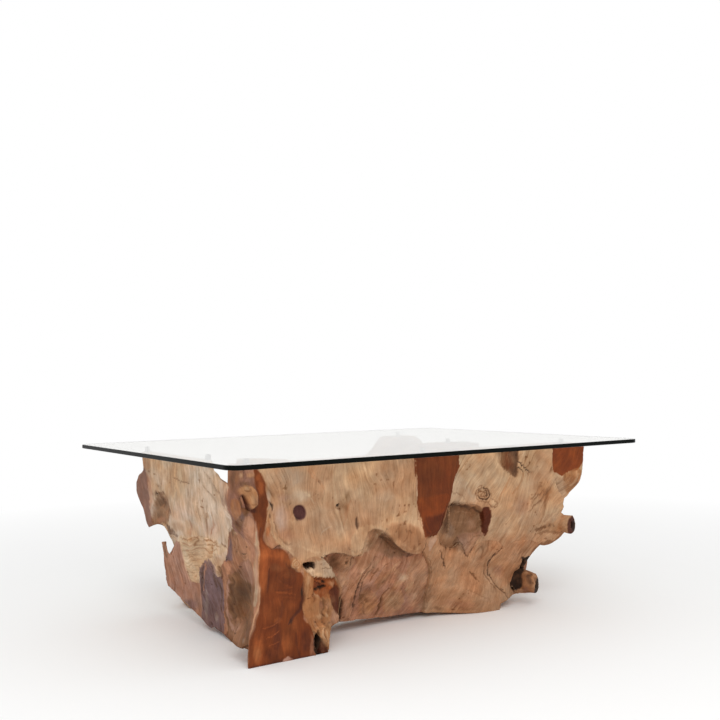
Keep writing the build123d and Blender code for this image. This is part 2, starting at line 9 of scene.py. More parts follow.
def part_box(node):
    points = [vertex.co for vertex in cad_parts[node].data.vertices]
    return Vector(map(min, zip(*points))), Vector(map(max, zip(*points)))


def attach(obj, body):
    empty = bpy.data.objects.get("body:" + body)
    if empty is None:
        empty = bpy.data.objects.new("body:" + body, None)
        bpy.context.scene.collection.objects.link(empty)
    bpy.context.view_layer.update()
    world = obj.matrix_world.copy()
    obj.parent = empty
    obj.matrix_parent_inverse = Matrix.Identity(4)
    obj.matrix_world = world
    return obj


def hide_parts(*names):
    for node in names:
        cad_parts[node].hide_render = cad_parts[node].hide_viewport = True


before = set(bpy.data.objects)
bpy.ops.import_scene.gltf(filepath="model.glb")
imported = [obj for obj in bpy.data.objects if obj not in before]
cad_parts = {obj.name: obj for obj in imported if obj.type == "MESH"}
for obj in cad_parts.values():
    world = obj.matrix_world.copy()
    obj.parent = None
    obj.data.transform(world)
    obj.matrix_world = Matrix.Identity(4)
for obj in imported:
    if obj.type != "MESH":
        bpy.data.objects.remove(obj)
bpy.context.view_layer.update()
scene = bpy.context.scene
scene.view_settings.view_transform = "Standard"

# Camera at the photograph's viewing angle
camera_place = np.array([-1.4171, -2.0709, 0.5859])
camera_yaw = radians(34.66)
camera_pitch = radians(1.40)
camera_roll = radians(-0.70)
focal_pixels = 938.4
image_side = 720
sensor_width = 36.0


def camera_directions():
    """Forward, right and up of the camera, from its yaw, pitch and roll."""
    forward = np.array([sin(camera_yaw) * cos(camera_pitch), cos(camera_yaw) * cos(camera_pitch),
                        sin(camera_pitch)])
    level = np.array([cos(camera_yaw), -sin(camera_yaw), 0.0])
    upright = np.cross(level, forward)
    right = level * cos(camera_roll) + upright * sin(camera_roll)
    up = upright * cos(camera_roll) - level * sin(camera_roll)
    return forward, right, up


forward, right, up = camera_directions()


def pixels_of(places):
    """Where places in metres lie in the photograph's square frame."""
    away = places - camera_place
    depth = away @ forward
    across = image_side / 2 + focal_pixels * (away @ right) / depth
    down = image_side / 2 - focal_pixels * (away @ up) / depth
    return np.stack([across, down], axis=1)


def new_object(name, data):
    """Object for a mesh, camera or lamp, in the scene."""
    piece = bpy.data.objects.new(name, data)
    scene.collection.objects.link(piece)
    return piece


def make_camera():
    """Camera whose lens and place give the photograph's view."""
    camera = new_object("camera", bpy.data.cameras.new("camera"))
    camera.data.sensor_width = sensor_width
    camera.data.lens = focal_pixels * sensor_width / image_side
    columns = [list(right), list(up), list(-forward)]
    turn = Matrix(columns).transposed().to_4x4()
    camera.matrix_world = Matrix.Translation(camera_place.tolist()) @ turn
    scene.camera = camera


# Numbers that mix grid corners into steady random values
hash_factors = np.array([374761393, 668265263, 1442695041], np.int64)
hash_seed_factor = 974711
hash_mask = 0xFFFFFFFF
hash_multiplier = 1274126177
hash_shifts = (13, 16, 15)
octave_seed_step = 17


def corner_value(cells, seed):
    """Steady random number from -1 to 1 for each grid corner."""
    mixed = (cells @ hash_factors + seed * hash_seed_factor) & hash_mask
    for shift in hash_shifts[:-1]:
        mixed = ((mixed ^ (mixed >> shift)) * hash_multiplier) & hash_mask
    return (mixed ^ (mixed >> hash_shifts[-1])) / hash_mask * 2 - 1


def eased(part):
    """Part from 0 to 1, turned into a smooth step."""
    return part * part * (3 - 2 * part)


def noise(points, size, seed):
    """Smooth noise from -1 to 1 that varies over a size, in the points' own unit."""
    scaled = points / size
    cells = np.floor(scaled).astype(np.int64)
    part = eased(scaled - cells)
    total = np.zeros(len(points))
    for corner in range(8):
        offset = np.array([corner & 1, corner >> 1 & 1, corner >> 2 & 1])
        weight = np.prod(np.where(offset, part, 1 - part), axis=1)
        total += weight * corner_value(cells + offset, seed)
    return total


def rough(points, size, seed, octaves, keep):
    """Sum of noises, each at half the size and a share of the strength of the one before."""
    total = np.zeros(len(points))
    for octave in range(octaves):
        total += keep ** octave * noise(points, size / 2 ** octave, seed + octave_seed_step * octave)
    return total


def smooth(low, high, values):
    """0 below low, 1 above high, and a smooth step between."""
    return eased(np.clip((values - low) / (high - low), 0, 1))


# Palette, chosen to look like the photograph's wood, as red, green and blue from 0 to 255
full_colour = 255
pale = (188, 158, 130)
cream = (206, 171, 135)
tan = (171, 129, 96)
warm = (168, 120, 86)
lilac = (184, 156, 140)
mauve = (150, 105, 82)
dusk = (126, 88, 72)
purple = (114, 88, 86)
grey_wood = (142, 120, 106)
gold = (176, 124, 82)
orange = (124, 57, 20)
red = (107, 51, 21)
deep_red = (80, 33, 13)
brown = (120, 84, 58)
# shadow and the colour after it are painted shade: the dark of shadows under lips and edges, and inside
# holes, cracks and gaps
shadow = (84, 58, 42)
hole_shade = (44, 30, 22)
sand = (205, 177, 152)
straw = (187, 149, 114)
ash = (162, 134, 110)
clay = (170, 120, 91)
knot_wood = (74, 41, 38)
rose = (172, 130, 112)
ember = (158, 84, 42)
chestnut = (108, 58, 32)
bark = (78, 38, 24)
honey = (152, 99, 60)
umber = (117, 77, 49)
bone = (175, 145, 117)


def new_mark(kind, colour, points, reach, strength, rise, flat=0, polish=0, waver=1, **shape):
    """A mark at the photograph's pixels, given as across, down, across, down and so on.

    Strength is how much it covers the colour under it, and rise how far it lifts or sinks the wood, in
    millimetres.
    """
    points = np.array(points, float).reshape(-1, 2)
    return {"kind": kind, "colour": colour, "points": points, "reach": reach, "strength": strength,
            "rise": rise, "flat": flat, "polish": polish, "waver": waver, **shape}


def area(colour, points, strength, soft, rise=0, flat=0, polish=0):
    """Patch inside a closed outline, with an edge some pixels soft, flat and polished by a share."""
    return new_mark("area", colour, points, soft, strength, rise, flat, polish)


def line(colour, points, width, strength, rise=0):
    """Crack, groove, ridge, streak or line of painted shade along a curve, tapered to both ends."""
    return new_mark("line", colour, points, width, strength, rise)


def spot(colour, across, down, wide, high, strength=1, rise=0, turn=0, soft=0.8, waver=1):
    """Round or oval pit, lump, stain or painted shade; its edge is soft over a share of its size and wavers.
    """
    return new_mark("spot", colour, [across, down], max(wide, high), strength, rise, waver=waver,
                    radii=np.array([wide, high]), turn=turn, soft=soft)


def rings(colour, across, down, wide, high, gap, rise, strength):
    """Wavering rings round a knot or across a sawn end, a gap of pixels apart."""
    return new_mark("rings", colour, [across, down], max(wide, high), strength, rise,
                    radii=np.array([wide, high]), gap=gap)


def lines(colour, *rows):
    """Lines of one colour, from a row of values for each."""
    return [line(colour, *row) for row in rows]


def spots(colour, *rows):
    """Spots of one colour, from a row of values for each."""
    return [spot(colour, *row) for row in rows]


# Marks of each sub-part, lowest first
post_marks = [
    area(clay, [226, 468, 231, 470, 230.5, 482, 229, 492, 227, 504, 225, 504, 225.5, 480], 0.7, 2),
    spot(umber, 235, 480, 8, 14, 0.6),
    spot(dusk, 240, 486, 9, 6, 0.45),
    area(red, [254.5, 469, 258.7, 470, 262.4, 478, 265.5, 488, 267, 501, 266.6, 513, 264.8, 524, 263.2, 535,
         260.3, 556, 257.8, 556, 258.4, 540, 257.3, 528, 253, 517, 250.8, 510, 256, 507, 258.5, 501,
         257, 491, 255.4, 482, 254, 475], 1, 1.6, 0.5, 0.8, 0.6),
    *spots(ember, (261, 488, 3.6, 11, 0.75), (258.5, 477, 3, 6, 0.5)),
    spot(deep_red, 262, 512, 4, 8, 0.35),
    spot(bark, 253, 511, 4.5, 3, 0.9, -1.5),
    line(bark, [260.5, 527, 261.5, 540, 260.2, 556], 1.6, 0.8),
    spot(tan, 241.8, 475.8, 3, 4, 0.8, 2.5),
    spot(gold, 251, 475.2, 4.6, 4, 0.8, 2.5),
    *lines(dusk, ([244.2, 471, 246, 476, 245.2, 482], 1.8, 0.8, -2.5), ([248, 472, 253, 473.5], 0.8, 0.6)),
    spot(brown, 246, 484.5, 8, 3, 0.5, -1.5),
    area(gold, [238, 489, 242, 486.5, 248, 485.6, 253.3, 487.1, 256.4, 491.7, 257.5, 497.8, 256.7, 504,
         253.3, 507.8, 250.2, 508.6, 247.2, 505.5, 245.3, 500.1, 243.7, 497, 241, 494.8, 239, 495.5,
         237.6, 493], 0.85, 2.2, 7),
    *spots(straw, (251.5, 499, 3.6, 6, 0.5, 1), (246, 489.4, 4, 2.6, 0.5, 1)),
    spot(honey, 254.6, 494, 1.6, 3.4, 0.6, -1),
    *lines(umber, ([243, 491, 247, 492.6, 250.6, 491.4], 0.9, 0.6, -1.2),
        ([249.4, 504, 252.6, 505, 255.4, 503], 0.8, 0.5, -0.8)),
    spot(gold, 233.4, 508, 1.8, 5, 0.5, 0.8),
    line(umber, [231, 474, 233, 482, 232.4, 492], 1.4, 0.45, -1.2),
    spot(brown, 250.5, 489.5, 1.6, 1.4, 0.5, -1),
    spot(clay, 241, 502, 2.8, 5.5, 0.8, 2.5),
    area(honey, [232, 500.5, 236.3, 499, 239.6, 504.5, 240.7, 511, 239.5, 518.5, 236.5, 520, 233.6, 516,
         231.8, 508.5], 0.7, 2, 5),
    line(bark, [242.5, 496, 244.9, 500.9, 246.4, 507, 249.5, 510.5], 1.9, 0.9, -6),
    line(shadow, [239, 498, 240.8, 504, 241.2, 511], 1.2, 0.7, -3),
    area(umber, [241, 509, 246, 508, 250, 511, 247.5, 514.5, 244.6, 518, 243.6, 524, 241.5, 530.4,
         236.5, 527.5, 232.8, 519.5, 236.5, 521, 240, 518.5, 241.4, 513], 0.85, 1.6, -3),
    spot(purple, 243, 517, 2.4, 6, 0.6),
    spot(bark, 238, 523, 3, 3, 0.35),
    area(clay, [244.9, 519, 248, 516.2, 251.8, 518.5, 255.6, 526, 257.9, 535, 259, 546.8, 259.3, 560,
         259.3, 590, 259, 606, 255.5, 622, 251, 638, 249.3, 644, 249.5, 637, 251.5, 622, 253.4, 606,
         253.6, 590, 252.6, 572, 249.8, 560, 246.6, 546.8, 244.2, 531.5], 0.95, 1.2, 2),
    line(bone, [255.6, 532, 257, 555, 256.6, 585, 255.8, 606], 3.4, 1),
    line(rose, [256.2, 548, 257.2, 566, 256.8, 590], 1.6, 0.6),
    line(cream, [258.6, 548, 258.9, 575, 258.4, 604, 254.5, 622, 250.5, 637], 0.8, 0.55, 0.5),
    area(red, [261, 530, 263.5, 540, 266.3, 545.3, 271, 549.5, 276, 548.4, 281, 548.8, 286, 553, 290, 559.6,
         291.5, 567, 296, 572, 301, 573.9, 303.5, 581.9, 303.9, 593.8, 302.6, 605.8, 303.2, 619.3,
         309, 625.7, 312.6, 633.7, 312.7, 645.6, 311, 662, 249, 676, 248.2, 668, 249.8, 645, 252, 637,
         256.8, 622, 259.8, 606, 259.8, 556], 1, 1.3, 0.5, 0.85, 0.8),
]
foot_marks = [
    area(ember, [260, 540, 266, 546, 275, 549, 286, 553, 291, 562, 283, 570, 272, 572, 266, 582, 260, 590],
         0.7, 5),
    *spots(ember, (264, 558, 7, 13, 0.9), (276, 555, 11, 7, 0.75)),
    line(bark, [286, 563, 292, 572, 295, 582], 2.2, 0.35),
    line(ember, [279, 579, 284, 585, 292, 588], 1.2, 0.5),
    spot(ember, 292, 604, 6, 7, 0.4),
    spot(bark, 270, 655, 5, 9, 0.4),
    line(ember, [284, 630, 283, 644, 286, 656], 2, 0.4),
    line(bark, [296, 632, 297, 646, 300, 656], 2, 0.4),
    spot(ember, 262.5, 578, 3.4, 18, 0.7),
    spot(brown, 276, 568, 9, 5, 0.5),
    spot(deep_red, 288, 582, 10, 6, 0.65),
    rings(bark, 286, 578, 12, 8, 3.4, -0.3, 0.35),
    line(bark, [269.4, 569, 268.6, 578, 267, 592], 1.7, 0.85, -0.5),
    line(ember, [276.5, 591.6, 285, 592.6, 295.5, 594], 1.3, 0.7),
    line(bark, [275, 589.6, 284, 590.4, 294, 588], 0.9, 0.6),
    line(ember, [283, 596.4, 290, 597, 296, 597.6], 0.8, 0.4),
    *spots(ember, (281, 600, 5, 8, 0.35), (266, 612, 7, 16, 0.5)),
    area(red, [262, 560, 290, 566, 301, 578, 302, 600, 296, 612, 280, 640, 252, 650, 258, 610], 0.35, 6),
    line(bark, [303, 580, 302.7, 590, 302, 600, 299.4, 609, 292.4, 617.8, 288.6, 624], 2.6, 0.95, -1),
    *spots(hole_shade, (301.6, 592, 1.4, 6, 0.7, -0.5), (291, 621, 2, 3, 0.4)),
    line(bark, [282.5, 600, 281, 612, 277, 622, 270, 628], 2.4, 0.45),
    spot(ember, 278, 620, 5, 4, 0.4),
    *spots(bark, (277, 641, 6, 22, 0.7), (306, 642, 6, 16, 0.75)),
    spot(ember, 258.5, 648, 7, 24, 0.75),
    spot(gold, 257, 655, 5, 12, 0.3),
    *spots(ember, (287, 644, 6.5, 11, 0.6), (295, 625, 4, 8, 0.3)),
    *lines(ember, ([262, 628, 270, 626.5, 278, 622], 0.9, 0.6), ([266, 638, 273, 635, 280, 630], 0.9, 0.6),
        ([268, 646, 274, 643.5, 279, 641], 0.7, 0.5)),
    line(bark, [250, 668, 262, 666, 280, 661, 300, 657, 311, 657], 3, 0.6),
    area(rose, [283, 660.5, 286, 657.5, 289, 656, 292, 658.5, 295, 660, 291, 662, 284, 664], 0.9, 1.2, 0.8),
]
shoulder_marks = [
    area(warm, [263.4, 524, 267, 522, 272.5, 534, 277, 541, 281, 547, 286, 550.5, 293, 556, 299, 563,
         303, 572, 299, 573, 291.8, 567, 290.5, 559.5, 284, 551, 279, 545.5, 272, 549, 266.5, 546,
         263.8, 536], 0.9, 1.6, 2.5),
    spot(ember, 267, 532, 2.6, 8, 0.6),
    line(straw, [270.5, 530, 274.5, 538, 278, 543, 285, 549, 294, 556], 2.4, 0.8, 1.5),
    line(clay, [266.5, 536, 269.5, 542, 272, 546.5], 2, 0.6),
    line(shadow, [267, 545.4, 270.5, 548.6, 274, 548.2, 278, 545.8, 281, 546.4], 0.8, 0.85, -1.5),
    area(gold, [290.8, 560, 294, 557.3, 298.4, 560.5, 300, 565.5, 298.6, 572.4, 294.8, 570.5, 291.2, 566],
         0.8, 1.4, 3),
    rings(cream, 294.8, 563.5, 4.4, 5.5, 2.3, 0.8, 0.6),
    spot(brown, 295.2, 568.4, 1.2, 0.9, 0.6, -1),
]
burl_marks = [
    area(honey, [303, 571, 312, 577, 313, 590, 311, 602, 312, 622, 318, 633, 311, 629, 303.5, 617,
         302.8, 592], 0.85, 2, 2.5),
    spot(straw, 306.5, 580, 3, 8, 0.6, 1.5),
    area(bone, [303.5, 568.5, 306, 572.5, 311, 577, 318, 578.4, 327, 577.6, 332, 578.2, 335.4, 576.6,
         332, 572, 330.4, 567, 326.6, 561.5, 319.5, 559.4, 313, 560.2, 311, 568.5], 0.95, 1.4, 5),
    *spots(cream, (316, 574, 5, 3, 0.6, 1), (309, 570.5, 4, 2, 0.6, 1)),
    *spots(ash, (322, 564, 4, 2.4, 0.6, -1.5), (325, 571, 3.4, 2.2, 0.5, -1.5)),
    spot(brown, 318.6, 562.6, 1.2, 0.9, 0.6, -1),
    line(brown, [319, 569, 324, 567.4, 329, 569], 0.9, 0.5, -1.5),
    area(orange, [311.8, 578.5, 318, 577.6, 326, 577, 334, 578, 337, 583, 336, 592, 331, 596, 325, 598,
         318, 596, 313.4, 592], 0.8, 2.2, -2.5),
    spot(bark, 319, 586, 6.5, 3, 0.7, -3),
    line(hole_shade, [313.6, 590.6, 318, 588.2, 325.6, 586.6], 1.9, 0.95, -5),
    spot(hole_shade, 323, 582, 2.6, 1.8, 0.9, -4),
    *lines(bark, ([312.5, 582, 316, 583.4, 319, 585.4], 1.2, 0.8, -2),
        ([314, 579.6, 320, 580.4, 325, 580], 1, 0.7, -1.5)),
    spot(warm, 331, 583.5, 4.6, 4.4, 0.85, 6),
    spot(ember, 330.6, 587.5, 3.6, 2, 0.6),
    line(bark, [311, 594, 312.6, 599, 310.6, 602], 1.4, 0.6, -2),
    area(honey, [310.5, 596, 316, 597.5, 322, 597, 328, 593.5, 330.4, 598, 331, 610, 328.4, 620, 322, 627,
         314, 624, 310, 611], 0.8, 2.4, 5),
    spot(umber, 321, 600, 5, 3, 0.5, -1.5),
    line(umber, [325.4, 596, 326.6, 606, 325, 614], 1.2, 0.5, -1.5),
    spot(mauve, 318.6, 603, 3.4, 6, 0.7, -3.5),
    spot(clay, 325, 604, 3.6, 5, 0.5, 1),
    spot(brown, 324.2, 602.6, 1.5, 1.3, 0.8, -2.5),
    line(brown, [320, 597, 321.4, 605, 318.6, 612, 321.6, 616], 1.3, 0.7, -3),
    *spots(straw, (316, 616, 4, 4, 0.6, 2.5), (324, 614, 2.4, 3, 0.6, 2.5)),
    *spots(shadow, (313.4, 622.3, 1.2, 1.1, 0.85, -2.5), (319.5, 621.9, 1, 1, 0.9, -2),
        (322.4, 622, 1, 1, 0.9, -2)),
    line(brown, [315, 627.6, 318, 630.6, 322, 627.4], 1, 0.7, -2),
    area(chestnut, [328.8, 592, 332, 588.6, 337.4, 585, 338.6, 600, 339.4, 613, 335, 611.4, 331, 605],
         1, 1.4, -2.5),
    line(bark, [335.4, 588, 336.4, 600, 336.8, 611], 3, 0.8),
    area(clay, [328.6, 611, 333, 609.4, 337.6, 613, 337.4, 620, 335, 624, 330, 624.6, 327.6, 618],
         0.8, 2, 3),
    line(hole_shade, [341.3, 588, 339.8, 605.8, 338.6, 622], 1.5, 0.95, -8),
    area(bark, [331, 588, 338, 588, 338.4, 612, 334, 612, 330.6, 600], 0.6, 1.8, -1),
    area(gold, [313, 630, 318, 626, 326, 623, 331, 626, 330, 640, 328.7, 650, 325.6, 644, 321, 639,
         316.5, 633.6], 0.8, 1.6, 3),
    line(cream, [322, 627, 322.4, 634, 325, 642], 1.3, 0.7, 2),
    line(straw, [326, 628, 326.6, 636, 327.4, 645], 1.2, 0.7, 2),
    line(brown, [324, 628, 324.6, 636, 326, 642], 0.7, 0.7, -1.5),
    area(hole_shade, [313.5, 637, 316.6, 633.2, 320, 638, 321.4, 645, 321, 657, 317, 658, 313.6, 650],
         0.95, 1.2, -9),
    area(bark, [320.6, 642, 325, 645.4, 328.5, 650, 328.4, 658, 320, 658], 0.9, 1.6, -5),
    area(mauve, [310.6, 636, 313.4, 640, 316, 657, 310.6, 660], 0.7, 1.4),
    area(hole_shade, [302.6, 566.6, 306.2, 562.6, 311.8, 561.2, 312.6, 562, 312.4, 568, 308, 568.4, 304.6, 569.4],
         1, 1, -7),
]
panel_marks = [
    spot(ash, 290, 479, 20, 13, 0.8),
    spot(pale, 270, 476, 8, 12, 0.6),
    spot(lilac, 281, 518, 10, 17, 0.85),
    spot(pale, 300, 495, 14, 8, 0.6),
    spot(warm, 287, 536, 16, 8, 0.75),
    *spots(tan, (312, 526, 12, 16, 0.7), (330, 520, 8, 26, 0.4), (316, 484, 8, 10, 0.45)),
    *spots(straw, (350, 480, 22, 16, 0.8), (345, 515, 10, 26, 0.5)),
    *spots(tan, (372, 520, 14, 12, 0.5), (399, 478, 12, 5, 0.5, 1.5)),
    spot(warm, 399, 508, 15, 8, 0.4, 1),
    spot(pale, 385, 495, 12, 8, 0.5),
    spot(tan, 330, 545, 16, 9, 0.6),
    spot(warm, 352, 548, 20, 9, 0.65),
    spot(clay, 366, 536, 12, 9, 0.6, -3),
    line(shadow, [348, 549, 353, 551, 360, 549.6, 364, 545], 0.8, 0.6, -1.5),
    line(straw, [336, 470, 335, 490, 337, 520, 335, 548], 1.6, 0.45, 0.5),
    line(tan, [341.5, 470, 342, 492, 340, 516], 1.2, 0.45, -0.5),
    line(straw, [348, 468, 349, 486, 352, 504], 1.8, 0.4, 0.5),
    line(tan, [326, 516, 328, 530, 326, 546], 1.4, 0.5, -0.6),
    spot(rose, 284, 497, 9, 6, 0.35),
    line(tan, [272, 497, 279, 493, 286, 494, 291, 492], 1.4, 0.55, -0.6),
    area(warm, [386, 527, 398, 522, 412, 524, 421, 530, 424, 542, 421, 554, 412, 553, 402, 547, 393, 539],
         0.5, 1.5, 2),
    area(umber, [389, 528, 400, 524, 413, 526, 421, 533, 423, 545, 419, 553, 409, 551, 398, 543], 0.4, 4),
    line(tan, [396, 538, 405, 546, 416, 551], 1.5, 0.6, 0.8),
    *lines(umber, ([409, 528, 405.6, 534, 402, 541], 1, 0.6, -1.2), ([398, 528, 395, 533], 0.8, 0.5, -0.8),
        ([418, 540, 415, 546, 411, 549], 0.8, 0.5, -0.8)),
    spot(straw, 416, 548, 4, 4, 0.5, 1),
    line(pale, [374, 537, 383, 530.5, 388, 529], 1.2, 0.7, 1),
    area(shadow, [379, 535, 387, 532, 393, 540, 402, 549, 412, 555, 404, 556, 392, 549, 384, 541],
         0.75, 1.5),
    line(warm, [309.2, 470.3, 313, 477.2, 319.9, 481.8, 323.7, 487.9], 2, 0.65, -1),
    line(brown, [318.7, 480, 320.6, 484], 1.2, 0.6, -1),
    line(shadow, [312.6, 494.4, 315.7, 494.2, 318.7, 494.5], 0.5, 0.8, -1),
    spot(brown, 337.8, 507.5, 3.2, 2, 0.5),
    spot(hole_shade, 338.2, 505.3, 2.3, 1.6, 1, -5),
    *spots(brown, (290.4, 503.6, 1.3, 0.9, 0.9, -1), (292.3, 529.2, 0.9, 0.8, 0.8, -0.5)),
    line(warm, [350.6, 500.4, 346, 514, 343.5, 527], 2.2, 0.6),
    line(shadow, [356, 517, 356.6, 524, 358.2, 531], 2, 0.85, -2.5),
    spot(brown, 355.4, 502.5, 0.6, 2.5, 0.8, -0.5),
    line(hole_shade, [268, 502, 271.4, 505.4, 273.2, 510.6], 1.7, 0.95, -3),
    spot(ash, 269.4, 507.4, 1.8, 3.4, 0.8),
    spot(shadow, 269.8, 516.2, 1.3, 2.4, 0.9, -1.5),
    spot(honey, 268.4, 524, 2.4, 10, 0.7),
    line(straw, [270.4, 512, 273, 524, 277, 534, 284, 544, 293, 552], 1.8, 0.6, 1),
    spot(mauve, 286, 533, 10, 8, 0.45, -1, 30),
    line(brown, [273.5, 522, 276.4, 531, 280.6, 538.4, 286, 543, 291, 545], 1.6, 0.45, -1.5),
    *spots(cream, (345, 497, 5, 8, 0.45, 1), (285.4, 487, 3, 4, 0.4, 0.5)),
    *lines(warm, ([312, 468, 315, 474, 318, 480], 1.4, 0.6, -0.8),
        ([306, 468, 310, 474, 314, 479], 1.2, 0.5, -0.8)),
    line(cream, [305, 490, 309, 495, 312.4, 500], 1.2, 0.6, 0.8),
    line(pale, [331, 526, 325, 530, 320, 535], 1, 0.5, 0.6),
    spot(cream, 276, 540, 3, 6, 0.5, 0, -35),
    *spots(brown, (404.9, 530.5, 2, 1.6, 0.85, -2), (410, 531.8, 1.6, 1.6, 0.8, -2)),
    spot(hole_shade, 386.8, 528.8, 1.2, 1.2, 0.8, -2),
    *lines(cream, ([322, 553, 325, 556, 327, 560], 0.8, 0.7, 1),
        ([318, 556, 322, 559, 325, 563], 0.8, 0.6, 1)),
    *lines(hole_shade, ([323, 553, 326, 556.5], 0.6, 0.8, -2), ([320, 556.5, 323.5, 560.5], 0.6, 0.8, -2)),
    line(cream, [300, 545, 312, 552, 320, 552], 2, 0.4, 0.5),
    spot(knot_wood, 299.4, 512.6, 6.5, 8.3, 1, -0.8, 0, 0.22, 0.15),
    line(hole_shade, [293.6, 508, 293, 514, 296, 519.4, 300, 520.4], 0.8, 0.5),
    spot(ash, 269.5, 492, 2.4, 12, 0.5),
    spot(lilac, 268.5, 498, 1.8, 9, 0.7, 0.8),
    *lines(cream, ([292, 515, 291.4, 521, 294, 525], 1.2, 0.3),
        ([306, 494, 311, 498, 315, 504], 1.2, 0.4, 0.8), ([289, 520, 292, 521, 296, 523], 1.5, 0.3)),
    line(pale, [266.5, 474, 268.5, 486, 270.5, 498], 1.2, 0.6),
]
insert_marks = [
    area(red, [416, 450, 417.8, 486.6, 416.6, 503.8, 419.5, 517.6, 423.8, 527.9, 425.4, 537.5, 431.5, 535.7,
         439.3, 533, 447, 515.9, 449.2, 503.8, 453.9, 483.2, 458, 450], 1, 0.6, 0, 1, 0.5),
    area(orange, [418, 500, 430, 497, 449, 494, 446, 511, 434, 514, 422, 516], 0.8, 4),
    area(deep_red, [424, 519, 434, 516, 446, 514, 440, 530, 432, 534, 426, 533], 0.75, 3),
    line(orange, [424, 518, 427, 526, 431, 532], 1.8, 0.5),
    line(cream, [416.2, 459, 417.4, 486, 416.6, 503, 419.4, 516, 423.6, 527], 0.6, 0.7),
    area(warm, [423.8, 538.3, 429.8, 536.8, 435, 536.5, 441, 533, 435, 546.9, 427, 555.5, 421.5, 553.8],
         0.8, 1, -1),
    area(lilac, [430, 538, 437, 536, 434, 545, 429, 551], 0.45, 1.5),
    line(shadow, [426.4, 541, 424.7, 548, 422.5, 553], 0.7, 0.8, -1),
]
centre_marks = [
    # painted shadow: this brown spot darkens the recess beside the burl's crown
    spot(brown, 333, 562, 7, 11, 0.9, -2),
    spot(warm, 344, 560, 13, 12, 0.4, 12),
    spot(tan, 352, 562, 14, 8, 0.35),
    spot(clay, 385, 566, 16, 7, 0.6, 2, 30),
    *spots(rose, (372, 590, 8, 14, 0.45, 2, -20), (408, 600, 12, 8, 0.4, 1.5)),
    spot(straw, 398, 583, 7, 3.4, 0.5, 1, -30),
    line(shadow, [372, 566, 366, 575, 362, 586, 360, 597], 0.9, 0.7, -2.5),
    *lines(brown, ([402, 562, 394, 572, 389, 584], 0.9, 0.6, -2),
        ([412, 570, 405, 582, 398, 596, 395, 610], 0.9, 0.55, -2)),
    line(straw, [370, 562, 362, 572, 357, 584], 1.6, 0.5, 2.5),
    line(rose, [356, 560, 349, 574, 345, 592, 343, 612], 2.6, 0.5, 2),
    # the second dusk spot is painted shade along the underside of the lip
    *spots(dusk, (369, 606, 5, 9, 0.45, -2), (400, 555, 14, 4, 0.5)),
    area(tan, [338, 549, 347, 554, 351, 566, 349, 580, 342, 588, 338, 580], 0.6, 3),
    area(straw, [362, 526, 387, 527, 383, 533, 376, 539, 372, 547, 363, 554.6, 354, 556, 350, 550,
         354, 535], 0.85, 2.2, 1.5),
    area(warm, [376, 541, 372, 548, 364, 556, 356, 560, 360, 570, 372, 560, 380, 548], 0.5, 3),
    # painted shade: the umber and grey spots darken the hollow under the lip's apex
    spot(umber, 388, 542, 8, 9, 0.75, -2, 35),
    spot(grey_wood, 390, 552, 8, 6, 0.45),
    area(gold, [384, 592, 394, 586, 402, 590, 402, 602, 397, 612, 385, 613, 382, 603], 0.5, 3, 1.5),
    area(gold, [361, 594, 368, 590, 376, 596, 375, 608, 366, 614, 358, 612], 0.5, 3, 1.5),
    spot(umber, 366, 600, 2.6, 3.4, 0.75, -2),
    *lines(umber, ([364, 594, 360.6, 598, 358.4, 603], 1.2, 0.8, -2),
        ([379, 568, 373, 575, 369, 582], 1, 0.7, -1.5),
        ([389, 562, 384, 566, 377, 571.6, 371, 572], 1.1, 0.7, -1.5),
        ([396, 566, 388, 574, 380, 584, 374, 590], 1, 0.5, -1.5)),
    line(rose, [383, 566, 376, 575, 370, 584], 2.4, 0.6, 1.5),
    spot(mauve, 402, 564, 9, 6, 0.6, 1, -30),
    area(warm, [340.5, 585, 352, 580, 357, 590, 351, 602, 349, 616, 339, 620], 0.5, 2, 1.5),
    # painted shade: brown area under the lip's edge
    area(brown, [366, 545, 382, 535, 392, 541, 404, 553, 396, 556, 378, 552], 0.65, 4),
    line(shadow, [365.3, 571, 358.4, 586.5, 354, 600, 349.8, 616], 1, 0.9, -3),
    line(brown, [376, 556, 366, 568, 360, 578], 1, 0.5, -1),
    line(shadow, [361.5, 553.8, 355, 556.4, 348.8, 557.5, 348.2, 564, 347.8, 571], 0.7, 0.7, -1.5),
    *lines(brown, ([383.5, 592, 380, 603, 376.8, 615], 1.6, 0.85, -2.5),
        ([372, 585, 363, 600, 362, 615], 1.4, 0.5, -2)),
    *lines(tan, ([400, 560, 388, 572, 378, 585, 370, 600], 3, 0.5, 2),
        ([382, 556, 370, 568, 362, 582], 3, 0.5, 2), ([392, 590, 387, 602, 386, 614], 3, 0.6, 1.5)),
    spot(straw, 403.6, 577.6, 5, 4.6, 1, 1),
    line(straw, [406, 590, 410, 586, 414, 581], 2, 0.8, 1),
    line(umber, [408, 572, 412, 575, 409, 582], 0.9, 0.5, -0.8),
    *spots(tan, (411, 589, 3.5, 3, 0.5), (396, 571, 8, 4, 0.4, 0, 35)),
    spot(mauve, 415, 565, 10, 9, 0.5),
    line(brown, [427, 556, 431.5, 569.3, 430, 586.5, 426, 602], 0.9, 0.6, -1),
    spot(shadow, 429.3, 589, 1.4, 3.2, 0.7, -1.5),
    *spots(brown, (420, 608, 8, 3, 0.4), (360, 600, 2, 5, 0.5, -1.5)),
    line(brown, [352, 596, 349, 608], 1, 0.5, -1),
    spot(umber, 382, 578, 10, 14, 0.4, 0, 30),
    area(tan, [409, 562, 424, 558, 427, 575, 426, 600, 420, 608, 409, 604, 405, 590], 0.6, 5),
    spot(straw, 393, 601, 11, 12, 0.6, 1.5),
    spot(sand, 403.8, 577.4, 7, 6, 0.7, 1, 0, 0.9),
    spot(gold, 368, 607, 7, 8, 0.5, 1),
    line(umber, [388, 588, 383, 594, 379, 604, 376, 615], 1.4, 0.8, -2.5),
    spot(tan, 429, 584, 4, 20, 0.5),
]
